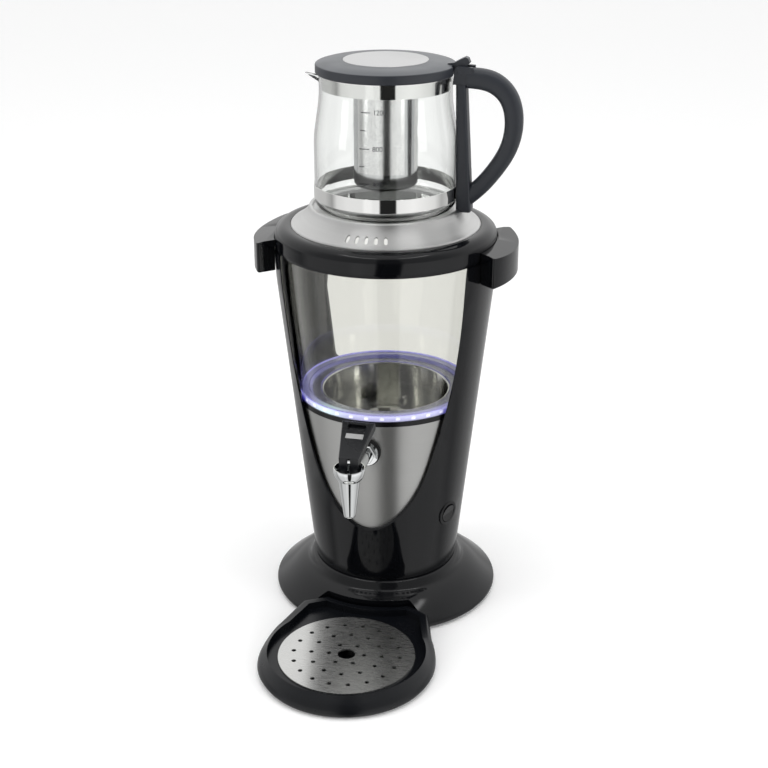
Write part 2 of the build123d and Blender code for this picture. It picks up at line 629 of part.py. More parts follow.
# Heating bowl: drawn steel with a rolled rim, a flange on the cradle and an outlet spout below
with BuildPart() as tank_bowl:
    with BuildSketch(Plane.XZ):
        with BuildLine():
            wall_in = Line((BOWL_RADIUS, BOWL_RIM - 0.8), (BOWL_RADIUS, BOWL_FLOOR + BOWL_CORNER))
            corner_in = TangentArc(wall_in @ 1, (BOWL_RADIUS - BOWL_CORNER, BOWL_FLOOR), tangent=(0, -1))
            Polyline(corner_in @ 1, (0, BOWL_FLOOR), (0, BOWL_FLOOR - BOWL_WALL),
                     (BOWL_RADIUS - BOWL_CORNER, BOWL_FLOOR - BOWL_WALL))
            corner_out = TangentArc((BOWL_RADIUS - BOWL_CORNER, BOWL_FLOOR - BOWL_WALL),
                                    (BOWL_RADIUS + BOWL_WALL, BOWL_FLOOR + BOWL_CORNER), tangent=(1, 0))
            Polyline(corner_out @ 1, (BOWL_RADIUS + BOWL_WALL, FLANGE_BOTTOM),
                     (BOWL_FLANGE_RADIUS, FLANGE_BOTTOM),
                     (BOWL_FLANGE_RADIUS, FLANGE_BOTTOM + BOWL_WALL),
                     (BOWL_RADIUS + 2.4, FLANGE_BOTTOM + BOWL_WALL), (BOWL_RADIUS + 2.4, BOWL_RIM - 0.8))
            ThreePointArc((BOWL_RADIUS + 2.4, BOWL_RIM - 0.8), (BOWL_RADIUS + 1.2, BOWL_RIM), wall_in @ 0)
        make_face()
    revolve(axis=Axis.Z)
    with Locations((0, HOSE_PORT_Y, BOWL_FLOOR)):
        Cylinder(PORT_RADIUS, PORT_LENGTH, align=BELOW)
        Hole(PORT_BORE, depth=PORT_LENGTH)
    with Locations(Plane(origin=polar(0, 0, PROBE_HEIGHT), z_dir=polar(1, PROBE_ANGLE, 0))):
        Cylinder(PROBE_SHANK_RADIUS + FIT_GAP, BOWL_RADIUS + 5, align=ON_FLOOR, mode=Mode.SUBTRACT)
save(tank_bowl, "tank_bowl")

# Water probe: a steel stud through the bowl's back wall, with its nut outside
with BuildPart() as water_probe:
    with BuildSketch(Plane(origin=polar(BOWL_RADIUS - PROBE_HEAD, PROBE_ANGLE, PROBE_HEIGHT),
                           z_dir=polar(1, PROBE_ANGLE, 0))):
        Circle(PROBE_RADIUS)
    extrude(amount=PROBE_HEAD - 0.4)
    fillet(water_probe.faces().sort_by(Axis.Y)[0].edges(), 0.8)
    with BuildSketch(Plane(origin=polar(BOWL_RADIUS - 1, PROBE_ANGLE, PROBE_HEIGHT),
                           z_dir=polar(1, PROBE_ANGLE, 0))):
        Circle(PROBE_SHANK_RADIUS)
    extrude(amount=9)
    with BuildSketch(Plane(origin=polar(BOWL_RADIUS + 1.3, PROBE_ANGLE, PROBE_HEIGHT),
                           z_dir=polar(1, PROBE_ANGLE, 0))):
        RegularPolygon(PROBE_RADIUS + 1, 6)
    extrude(amount=3)
save(water_probe, "water_probe")

# Heating element: an aluminium plate under the bowl with a bent tube brazed to it
with BuildPart() as heater_plate:
    with BuildSketch(Plane.XY.offset(HEATER_TOP)):
        Circle(ELEMENT_RING_RADIUS + 9)
        with Locations((0, HOSE_PORT_Y)):
            Circle(PORT_RADIUS + 1, mode=Mode.SUBTRACT)
    extrude(amount=-HEATER_THICKNESS)
save(heater_plate, "heater_plate")

with BuildPart() as heating_element:
    tube_height = HEATER_TOP - HEATER_THICKNESS - ELEMENT_TUBE_RADIUS
    with BuildSketch(radial_plane(ELEMENT_OPEN_ANGLE / 2 - 90)):
        with Locations((ELEMENT_RING_RADIUS, tube_height)):
            Circle(ELEMENT_TUBE_RADIUS)
    revolve(axis=Axis.Z, revolution_arc=360 - ELEMENT_OPEN_ANGLE)
    for angle in (ELEMENT_OPEN_ANGLE / 2 - 90, -ELEMENT_OPEN_ANGLE / 2 - 90):
        with Locations(Plane(origin=polar(ELEMENT_RING_RADIUS, angle, tube_height), z_dir=(0, 0, -1))):
            Cylinder(ELEMENT_TUBE_RADIUS, 9, align=ON_FLOOR)
            Cylinder(1.2, 17, align=ON_FLOOR)
save(heating_element, "heating_element")

# Thermostat: a snap disc under the heater plate
with BuildPart() as thermostat:
    with Locations((0, 0, HEATER_TOP - HEATER_THICKNESS)):
        Cylinder(THERMOSTAT_RADIUS, 7, align=BELOW)
    with Locations((0, 0, HEATER_TOP - HEATER_THICKNESS - 7)):
        with Locations((5, 0), (-5, 0)):
            Box(6.3, 0.8, 9, align=BELOW)
save(thermostat, "thermostat")

# Top ring: the black collar that clamps the glass and seats the tank lid
with BuildPart() as top_ring:
    with BuildSketch(Plane.XZ):
        with BuildLine():
            skirt = Line((GLASS_TOP_RADIUS + 1.2, SHELL_TOP), (TOP_RING_RADIUS - 1.4, SHELL_TOP))
            lower = ThreePointArc(skirt @ 1, (TOP_RING_RADIUS - 0.3, SHELL_TOP + 1.7),
                                  (TOP_RING_RADIUS, SHELL_TOP + 4.5))
            upper = Line(lower @ 1, (TOP_RING_RADIUS, TOP_RING_TOP - 10))
            shoulder = Spline(upper @ 1, (TOP_RING_RADIUS - 4.2, TOP_RING_TOP - 2.0),
                              (LID_SEAT_RADIUS + 3.5, TOP_RING_TOP),
                              tangents=((0, 1), (-1, 0)))
            Polyline(shoulder @ 1, (LID_SEAT_RADIUS, TOP_RING_TOP - 0.3), (LID_SEAT_RADIUS, LID_SEAT),
                     (TOP_RING_BORE, LID_SEAT), (TOP_RING_BORE, LID_SEAT - 2.3),
                     (RING_SKIRT_RADIUS, LID_SEAT - 2.3),
                     (RING_SKIRT_RADIUS, GLASS_TOP - 0.5),
                     (GLASS_TOP_RADIUS - GLASS_WALL - 0.8, GLASS_TOP - 0.5),
                     (GLASS_TOP_RADIUS - GLASS_WALL - 0.8, GLASS_TOP + SEAL_THICKNESS),
                     (GLASS_TOP_RADIUS + 1.2, GLASS_TOP + SEAL_THICKNESS), skirt @ 0)
        make_face()
    revolve(axis=Axis.Z)
save(top_ring, "top_ring")

# Carrying handles: one on each side, screwed on from inside the pillars
with BuildPart() as right_handle:
    inner_radius = SHELL_TOP_RADIUS + FIT_GAP
    inner_x = (inner_radius ** 2 - HANDLE_INNER_HALF ** 2) ** 0.5
    corner_x, corner_y = HANDLE_CORNER
    with BuildSketch(Plane.XY.offset(HANDLE_BOTTOM)):
        with BuildLine():
            ThreePointArc((inner_x, -HANDLE_INNER_HALF), (inner_radius, 0), (inner_x, HANDLE_INNER_HALF))
            Line((inner_x, HANDLE_INNER_HALF), (corner_x, corner_y))
            ThreePointArc((corner_x, corner_y), (HANDLE_REACH, 0), (corner_x, -corner_y))
            Line((corner_x, -corner_y), (inner_x, -HANDLE_INNER_HALF))
        make_face()
    extrude(amount=HANDLE_TOP - HANDLE_BOTTOM)
    split(bisect_by=Plane(origin=(inner_radius, 0, HANDLE_TOP), z_dir=(HANDLE_SLOPE, 0, 1)), keep=Keep.BOTTOM)
    fillet(right_handle.edges().filter_by(Axis.Z).sort_by(Axis.X)[-2:], HANDLE_CORNER_ROUND)
    fillet(right_handle.faces().sort_by(Axis.Z)[-1].edges().sort_by(Axis.X)[1:], HANDLE_TOP_ROUND)
    fillet(right_handle.faces().sort_by(Axis.Z)[0].edges().sort_by(Axis.X)[1:], HANDLE_TOP_ROUND / 2)
    with BuildSketch(Plane.YZ.offset(inner_radius - 10)):
        with Locations((HANDLE_SCREW_SPREAD, HANDLE_SCREW_HEIGHT),
                       (-HANDLE_SCREW_SPREAD, HANDLE_SCREW_HEIGHT)):
            Circle(SCREW_RADIUS + PIN_GAP)
    extrude(amount=10 + HANDLE_SCREW_BITE, mode=Mode.SUBTRACT)
save(right_handle, "right_handle")

with BuildPart() as left_handle:
    add(right_handle.part)
    mirror(about=Plane.YZ, mode=Mode.REPLACE)
save(left_handle, "left_handle")

with BuildPart() as handle_screws:
    head_x = SHELL_TOP_RADIUS - SHELL_WALL - 3.2
    for spread in (HANDLE_SCREW_SPREAD, -HANDLE_SCREW_SPREAD):
        with Locations(Plane(origin=(head_x, spread, HANDLE_SCREW_HEIGHT), z_dir=(1, 0, 0))):
            Cylinder(SCREW_HEAD_RADIUS, 1.2, align=ON_FLOOR)
            Cylinder(SCREW_RADIUS, 5 + HANDLE_SCREW_BITE, align=ON_FLOOR)
    mirror(about=Plane.YZ)
save(handle_screws, "handle_screws")

# Tank lid: pressed steel saddle with steam slots, lifted off by its rim
with BuildPart() as tank_lid:
    with BuildSketch(Plane.XZ):
        with BuildLine():
            edge = Line((TANK_LID_RADIUS, LID_SEAT), (TANK_LID_RADIUS, LID_SEAT + 2.4))
            brim = ThreePointArc(edge @ 1, (TANK_LID_RADIUS - 0.5, LID_SEAT + 3.4),
                                 (TANK_LID_RADIUS - 1.6, LID_SEAT + 4.1))
            cove = Spline(brim @ 1, (SADDLE_RIM_RADIUS + 10.8, LID_SEAT + 8.9),
                          (SADDLE_RIM_RADIUS + 2.4, SADDLE_RIM_TOP - 1.6),
                          tangents=((-1, 0.45), (-0.35, 1)))
            rim_top = ThreePointArc(cove @ 1, (SADDLE_RIM_RADIUS + 0.6, SADDLE_RIM_TOP),
                                    (SADDLE_RIM_RADIUS - 1.4, SADDLE_RIM_TOP - 1))
            Polyline(rim_top @ 1, (SADDLE_RIM_RADIUS - 1.8, POT_BASE), (0, POT_BASE), (0, LID_SEAT), edge @ 0)
        make_face()
    revolve(axis=Axis.Z)
    offset(amount=-TANK_LID_SHEET, openings=tank_lid.faces().sort_by(Axis.Z)[0])
    with BuildSketch(Plane.XY.offset(LID_SEAT - SKIRT_DEPTH)):
        Circle(TOP_RING_BORE - LIFT_GAP)
        Circle(TOP_RING_BORE - LIFT_GAP - TANK_LID_SHEET, mode=Mode.SUBTRACT)
    extrude(until=Until.NEXT)
    with BuildSketch(Plane.XY.offset(LID_SEAT + 2)):
        with PolarLocations(SLOT_RING_RADIUS, SLOT_COUNT, start_angle=-90 - SLOT_PITCH * (SLOT_COUNT - 1) / 2,
                            angular_range=SLOT_PITCH * SLOT_COUNT):
            SlotOverall(SLOT_LENGTH, SLOT_WIDTH)
    extrude(amount=POT_BASE - LID_SEAT, mode=Mode.SUBTRACT)
save(tank_lid, "tank_lid")

# Pot glass: a blown jug with a straight wall, a drawn-in neck and a pouring lip
with BuildPart() as pot_glass:
    with BuildSketch(Plane.XZ):
        with BuildLine():
            Line((0, POT_BASE), (POT_RADIUS - POT_BOTTOM_ROUND, POT_BASE))
            heel = TangentArc((POT_RADIUS - POT_BOTTOM_ROUND, POT_BASE),
                              (POT_RADIUS, POT_BASE + POT_BOTTOM_ROUND), tangent=(1, 0))
            wall = Line(heel @ 1, (POT_RADIUS, POT_SHOULDER))
            neck = Spline(wall @ 1, (POT_NECK_RADIUS, POT_NECK), tangents=((0, 1), (0, 1)))
            Polyline(neck @ 1, (POT_NECK_RADIUS, POT_RIM), (0, POT_RIM), (0, POT_BASE))
        make_face()
    revolve(axis=Axis.Z)
    with BuildSketch(Plane.XY.offset(POT_RIM - LIP_DROP)):
        Polygon(*lip_points(POT_NECK_RADIUS - 4, LIP_HALF_WIDTH / 4, POT_NECK_RADIUS + 0.5), align=None)
    with BuildSketch(Plane.XY.offset(POT_RIM - LIP_DIP)):
        Polygon(*lip_points(POT_NECK_RADIUS - 4, LIP_HALF_WIDTH, LIP_REACH), align=None)
    loft()
    with BuildSketch(Plane.XZ):
        with BuildLine():
            Line((0, POT_BASE + POT_FLOOR), (POT_RADIUS - POT_BOTTOM_ROUND, POT_BASE + POT_FLOOR))
            heel_in = TangentArc((POT_RADIUS - POT_BOTTOM_ROUND, POT_BASE + POT_FLOOR),
                                 (POT_RADIUS - POT_WALL, POT_BASE + POT_BOTTOM_ROUND + 1), tangent=(1, 0))
            wall_in = Line(heel_in @ 1, (POT_RADIUS - POT_WALL, POT_SHOULDER))
            neck_in = Spline(wall_in @ 1, (POT_NECK_RADIUS - POT_WALL, POT_NECK), tangents=((0, 1), (0, 1)))
            Polyline(neck_in @ 1, (POT_NECK_RADIUS - POT_WALL, POT_RIM), (0, POT_RIM),
                     (0, POT_BASE + POT_FLOOR))
        make_face()
    revolve(axis=Axis.Z, mode=Mode.SUBTRACT)
    with BuildSketch(Plane.XY.offset(POT_RIM - LIP_DROP + 4)):
        Polygon(*lip_points(POT_NECK_RADIUS - 8, LIP_HALF_WIDTH / 8, POT_NECK_RADIUS - POT_WALL - 0.4),
                align=None)
    with BuildSketch(Plane.XY.offset(POT_RIM + 0.5)):
        Polygon(*lip_points(POT_NECK_RADIUS - 8, LIP_HALF_WIDTH - POT_WALL, LIP_REACH - 1.6 * POT_WALL),
                align=None)
    loft(mode=Mode.SUBTRACT)
save(pot_glass, "pot_glass")

# Band: a polished steel strip round the foot of the pot, which holds the handle
with BuildPart() as pot_band:
    with BuildSketch(Plane.XY.offset(BAND_BOTTOM)):
        Circle(POT_RADIUS + SEAT + BAND_THICKNESS)
        Circle(POT_RADIUS + SEAT, mode=Mode.SUBTRACT)
    extrude(amount=BAND_TOP - BAND_BOTTOM)
save(pot_band, "pot_band")

# Pot handle: a rounded bow for the hand, swept along one curve, on a straight strap that
# stands against the glass and ends in a fork for the lid hinge
with BuildPart() as pot_handle:
    strap_x = POT_RADIUS + SEAT + BAND_THICKNESS + FIT_GAP
    hub_radius = KNUCKLE_RADIUS + 1.2
    with BuildLine(Plane.XZ):
        bow = Spline(*[(x, POT_BASE + rise) for x, rise in GRIP_PATH], tangents=((1, 0.45), (-1, -0.02)))
    with BuildSketch(Plane(origin=bow @ 0, x_dir=(0, 1, 0), z_dir=bow % 0)):
        RectangleRounded(GRIP_WIDTH, GRIP_DEPTH, GRIP_ROUND)
    sweep(path=bow)
    with BuildSketch(Plane.XZ):
        with BuildLine():
            foot_line = Line((strap_x, BAND_BOTTOM - GRIP_LOW), (strap_x + 6, BAND_BOTTOM - GRIP_LOW))
            spine = Spline(foot_line @ 1, (STRAP_OUT, BAND_TOP + 8), (STRAP_OUT - 3.5, POT_SHOULDER),
                           (STRAP_OUT - 5.5, STRAP_NARROW),
                           (HINGE_X + 8, HINGE_Z - 14.5), (HINGE_X + 14, HINGE_Z - 6),
                           tangents=((1, 0.5), (1, 0.6)))
            Polyline(spine @ 1, (HINGE_X + 14, HINGE_Z + 4), (HINGE_X, HINGE_Z + hub_radius))
            hub = TangentArc((HINGE_X, HINGE_Z + hub_radius), (HINGE_X - hub_radius, HINGE_Z),
                             tangent=(-1, 0))
            front = Spline(hub @ 1, (POT_NECK_RADIUS + 1.6, POT_NECK + 4),
                           (POT_NECK_RADIUS + 2.0, STRAP_NARROW),
                           (strap_x, POT_SHOULDER), tangents=((0, -1), (0, -1)))
            Line(front @ 1, foot_line @ 0)
        make_face()
    extrude(amount=GRIP_WIDTH / 2, both=True)
    with BuildSketch(Plane.XZ):
        with Locations((HINGE_X, HINGE_Z)):
            Circle(TAB_SWEEP_RADIUS)
        with Locations((HINGE_X, SLOT_FLOOR)):
            Rectangle(4 * TAB_SWEEP_RADIUS, 2 * TAB_SWEEP_RADIUS, align=(Align.CENTER, Align.MAX),
                      mode=Mode.SUBTRACT)
    extrude(amount=TAB_WIDTH / 2 + FIT_GAP, both=True, mode=Mode.SUBTRACT)
    with BuildSketch(Plane.XZ):
        with Locations((HINGE_X, HINGE_Z)):
            Circle(HINGE_PIN_RADIUS + PIN_GAP)
    extrude(amount=GRIP_WIDTH, both=True, mode=Mode.SUBTRACT)
save(pot_handle, "pot_handle")

# Hinge pin: held in the handle's fork, with the lid's knuckle turning on it
with BuildPart() as hinge_pin:
    with BuildSketch(Plane.XZ):
        with Locations((HINGE_X, HINGE_Z)):
            Circle(HINGE_PIN_RADIUS)
    extrude(amount=GRIP_WIDTH / 2 - 0.4, both=True)
save(hinge_pin, "hinge_pin")

# Pot lid: a shallow black dome, hollow below, with its hinge knuckle and thumb tab
with BuildPart() as pot_lid:
    with BuildSketch(Plane.XZ):
        with BuildLine():
            base = Line((LID_RADIUS - 8, LID_BOTTOM), (LID_RADIUS - 1, LID_BOTTOM))
            Polyline(base @ 1, (LID_RADIUS, LID_BOTTOM + 1), (LID_RADIUS, LID_EDGE_TOP - 1.4))
            crown = Spline((LID_RADIUS, LID_EDGE_TOP - 1.4), (LID_RADIUS - 1.4, LID_EDGE_TOP),
                           (DISC_RADIUS + SEAT, LID_CROWN), tangents=((0, 1), (-1, 0.06)))
            Polyline(crown @ 1, (DISC_RADIUS + SEAT, LID_CROWN - DISC_THICKNESS),
                     (0, LID_CROWN - DISC_THICKNESS),
                     (0, LID_BOTTOM + 5), (LID_RADIUS - 9, LID_BOTTOM + 5), base @ 0)
        make_face()
    revolve(axis=Axis.Z)
    with Locations((LID_HINGE_FLAT, 0, LID_BOTTOM - 1)):
        Box(10, GRIP_WIDTH + 2 * LIFT_GAP, 20, align=(Align.MIN, Align.CENTER, Align.MIN), mode=Mode.SUBTRACT)
    with BuildSketch(Plane.XZ):
        with BuildLine():
            tab = Polyline(*[(HINGE_X + x, HINGE_Z + rise) for x, rise in THUMB_TAB],
                           (HINGE_X + KNUCKLE_RADIUS, HINGE_Z))
            knuckle = ThreePointArc(tab @ 1, (HINGE_X, HINGE_Z - KNUCKLE_RADIUS),
                                    (HINGE_X - KNUCKLE_RADIUS, HINGE_Z))
            Polyline(knuckle @ 1, (LID_HINGE_FLAT, HINGE_Z), (LID_HINGE_FLAT - 1.6, LID_BOTTOM + 1.6),
                     (HINGE_X + THUMB_TAB[0][0], LID_BOTTOM + 1.6), tab @ 0)
        tab_face = make_face()
    extrude(amount=TAB_WIDTH / 2, both=True)
    with BuildSketch(Plane.XZ):
        with Locations((HINGE_X, HINGE_Z)):
            Circle(HINGE_PIN_RADIUS + PIN_GAP)
    extrude(amount=TAB_WIDTH, both=True, mode=Mode.SUBTRACT)
save(pot_lid, "pot_lid")

# Steel disc let into the lid
with BuildPart() as lid_disc:
    with Locations((0, 0, LID_CROWN - DISC_THICKNESS)):
        Cylinder(DISC_RADIUS, DISC_THICKNESS + 0.4, align=ON_FLOOR)
    fillet(lid_disc.edges().group_by(Axis.Z)[-1], 0.5)
save(lid_disc, "lid_disc")

# Infuser collar: a pressed steel ring that hangs on the pot's rim
with BuildPart() as infuser_collar:
    with BuildSketch(Plane.XZ):
        with BuildLine():
            collar_out = POT_NECK_RADIUS - POT_WALL - 0.2
            Polyline((collar_out, POT_RIM), (POT_NECK_RADIUS + 0.4, POT_RIM),
                     (POT_NECK_RADIUS + 0.4, POT_RIM + COLLAR_SHEET),
                     (collar_out - COLLAR_SHEET, POT_RIM + COLLAR_SHEET),
                     (collar_out - COLLAR_SHEET, COLLAR_BOTTOM + COLLAR_SHEET),
                     (INFUSER_RADIUS + SEAT, COLLAR_BOTTOM + COLLAR_SHEET),
                     (INFUSER_RADIUS + SEAT, COLLAR_BOTTOM),
                     (collar_out, COLLAR_BOTTOM), close=True)
        make_face()
    revolve(axis=Axis.Z)
save(infuser_collar, "infuser_collar")

# Infuser: a fine steel basket for the tea, with a rolled edge on the collar
with BuildPart() as infuser_basket:
    with BuildSketch(Plane.XZ):
        with BuildLine():
            Polyline((0, INFUSER_BOTTOM), (INFUSER_RADIUS - 2, INFUSER_BOTTOM),
                     (INFUSER_RADIUS, INFUSER_BOTTOM + 2),
                     (INFUSER_RADIUS, COLLAR_BOTTOM + COLLAR_SHEET),
                     (INFUSER_RADIUS + 3, COLLAR_BOTTOM + COLLAR_SHEET),
                     (INFUSER_RADIUS + 3, COLLAR_BOTTOM + COLLAR_SHEET + INFUSER_SHEET),
                     (INFUSER_RADIUS - INFUSER_SHEET, COLLAR_BOTTOM + COLLAR_SHEET + INFUSER_SHEET),
                     (INFUSER_RADIUS - INFUSER_SHEET, INFUSER_BOTTOM + 2.3),
                     (INFUSER_RADIUS - 2.3, INFUSER_BOTTOM + INFUSER_SHEET),
                     (0, INFUSER_BOTTOM + INFUSER_SHEET), close=True)
        make_face()
    revolve(axis=Axis.Z)
save(infuser_basket, "infuser_basket")

# Tap gasket and nut on the front panel, the gasket shaped to the panel's cone
gasket_front = panel_radius(TAP_HEIGHT + GASKET_RADIUS) + GASKET_SHOW
with BuildPart() as tap_gasket:
    with BuildSketch(Plane.XZ):
        with Locations((0, TAP_HEIGHT)):
            Circle(GASKET_RADIUS)
            Circle(SHANK_RADIUS + SEAT, mode=Mode.SUBTRACT)
    extrude(amount=gasket_front)
    with BuildSketch(Plane.XZ):
        with BuildLine():
            Polyline((0, PANEL_BOTTOM), (panel_radius(PANEL_BOTTOM) + SEAT, PANEL_BOTTOM),
                     (panel_radius(RING_TOP) + SEAT, RING_TOP), (0, RING_TOP), close=True)
        make_face()
    revolve(axis=Axis.Z, mode=Mode.SUBTRACT)
save(tap_gasket, "tap_gasket")

with BuildPart() as tap_nut:
    with BuildSketch(Plane.XZ.offset(gasket_front)):
        with Locations((0, TAP_HEIGHT)):
            RegularPolygon(NUT_RADIUS, 6)
            Circle(SHANK_RADIUS + SEAT, mode=Mode.SUBTRACT)
    extrude(amount=NUT_THICKNESS)
    chamfer(tap_nut.faces().sort_by(Axis.Y)[0].outer_wire().edges(), 0.8)
    with BuildSketch(Plane.XZ.offset(gasket_front)):
        with Locations((0, TAP_HEIGHT)):
            Circle(NUT_FLANGE_RADIUS)
            Circle(SHANK_RADIUS + SEAT, mode=Mode.SUBTRACT)
    extrude(amount=NUT_FLANGE)
save(tap_nut, "tap_nut")

# Tap body: threaded shank, stem, an open cup for the lever's heel and the upper half of the spout,
# bored through
with BuildPart() as tap_body:
    with BuildSketch(Plane.XZ.offset(SHANK_END)):
        with Locations((0, TAP_HEIGHT)):
            Circle(SHANK_RADIUS)
    extrude(amount=gasket_front + NUT_THICKNESS - SHANK_END)
    with BuildSketch(Plane.XZ.offset(gasket_front + NUT_THICKNESS)):
        with Locations((0, TAP_HEIGHT)):
            Circle(STEM_RADIUS)
    extrude(amount=TAP_REACH - gasket_front - NUT_THICKNESS)
    with BuildSketch(tap_section):
        with BuildLine():
            spout_line = Polyline((0, NOZZLE_SEAM), (nozzle_radius(NOZZLE_SEAM), NOZZLE_SEAM),
                                  (NOZZLE_TOP_RADIUS, BODY_BOTTOM), (BODY_FOOT_RADIUS - 0.8, BODY_BOTTOM),
                                  (BODY_FOOT_RADIUS, BODY_BOTTOM + 0.8))
            bulge = ThreePointArc(spout_line @ 1, (BODY_RADIUS - 0.5, BODY_TOP - 6),
                                  (BODY_RADIUS, BODY_TOP - 1))
            Polyline(bulge @ 1, (BODY_RADIUS - 0.4, BODY_TOP), (CUP_TOP_RADIUS, BODY_TOP),
                     (CUP_FLOOR_RADIUS, CUP_FLOOR),
                     (0, CUP_FLOOR), (0, NOZZLE_SEAM))
        make_face()
    revolve(axis=tap_axis)
    with BuildSketch(tap_section):
        with BuildLine():
            Polyline((0, NOZZLE_SEAM), (NOZZLE_BORE, NOZZLE_SEAM), (NOZZLE_BORE, VALVE_SEAT),
                     (CHAMBER_RADIUS, VALVE_SEAT),
                     (CHAMBER_RADIUS, CUP_FLOOR), (0, CUP_FLOOR), close=True)
        make_face()
    revolve(axis=tap_axis, mode=Mode.SUBTRACT)
    with BuildSketch(Plane.XZ.offset(SHANK_END)):
        with Locations((0, TAP_HEIGHT)):
            Circle(NOZZLE_BORE)
    extrude(amount=TAP_REACH - SHANK_END, mode=Mode.SUBTRACT)
save(tap_body, "tap_body")

# Spout: the tapered nozzle below the tap body
with BuildPart() as tap_spout:
    with BuildSketch(tap_section):
        with BuildLine():
            Polyline((NOZZLE_BORE, NOZZLE_TIP), (NOZZLE_TIP_RADIUS - 0.6, NOZZLE_TIP),
                     (NOZZLE_TIP_RADIUS, NOZZLE_TIP + 0.8), (nozzle_radius(NOZZLE_SEAM), NOZZLE_SEAM),
                     (NOZZLE_BORE, NOZZLE_SEAM), close=True)
        make_face()
    revolve(axis=tap_axis)
save(tap_spout, "tap_spout")

# Bonnet: the plate in the cup's floor that closes the valve chamber and guides the plunger
with BuildPart() as tap_bonnet:
    with BuildSketch(tap_section):
        with BuildLine():
            Polyline((PLUNGER_RADIUS + PIN_GAP, CUP_FLOOR - BONNET_PLUG),
                     (CHAMBER_RADIUS - SEAT, CUP_FLOOR - BONNET_PLUG),
                     (CHAMBER_RADIUS - SEAT, CUP_FLOOR), (CUP_FLOOR_RADIUS - SEAT, CUP_FLOOR),
                     (CUP_FLOOR_RADIUS - SEAT, BONNET_TOP), (PLUNGER_RADIUS + PIN_GAP, BONNET_TOP),
                     close=True)
        make_face()
    revolve(axis=tap_axis)
save(tap_bonnet, "tap_bonnet")

# Plunger: rises through the bonnet and ends in a flat tongue between the lever's cheeks
rod_top = LEVER_PIN_HEIGHT - CAM_BASE - CAM_LIFT - FIT_GAP
with BuildPart() as tap_plunger:
    with Locations((0, -TAP_REACH, VALVE_SEAT + 1)):
        Cylinder(PLUNGER_RADIUS, rod_top - VALVE_SEAT - 1, align=ON_FLOOR)
    with BuildSketch(Plane.YZ):
        with Locations((-TAP_REACH, LEVER_PIN_HEIGHT + TONGUE_TOP - TONGUE_WIDTH / 2)):
            Circle(TONGUE_WIDTH / 2)
        with Locations((-TAP_REACH, rod_top - 1)):
            Rectangle(TONGUE_WIDTH, LEVER_PIN_HEIGHT + TONGUE_TOP - TONGUE_WIDTH / 2 - rod_top + 1,
                      align=(Align.CENTER, Align.MIN))
        with Locations((-TAP_REACH, LEVER_PIN_HEIGHT)):
            Circle(LEVER_PIN_RADIUS + PIN_GAP, mode=Mode.SUBTRACT)
    extrude(amount=CHEEK_GAP / 2 - FIT_GAP, both=True)
save(tap_plunger, "tap_plunger")

# Seat cup: the silicone cup on the plunger that closes the spout
with BuildPart() as seat_cup:
    with BuildSketch(tap_section):
        with BuildLine():
            Polyline((0, VALVE_SEAT), (CHAMBER_RADIUS - 0.8, VALVE_SEAT),
                     (CHAMBER_RADIUS - 1.6, VALVE_SEAT + 5),
                     (PLUNGER_RADIUS + SEAT, VALVE_SEAT + 6), (PLUNGER_RADIUS + SEAT, VALVE_SEAT + 1),
                     (0, VALVE_SEAT + 1),
                     close=True)
        make_face()
    revolve(axis=tap_axis)
save(seat_cup, "seat_cup")

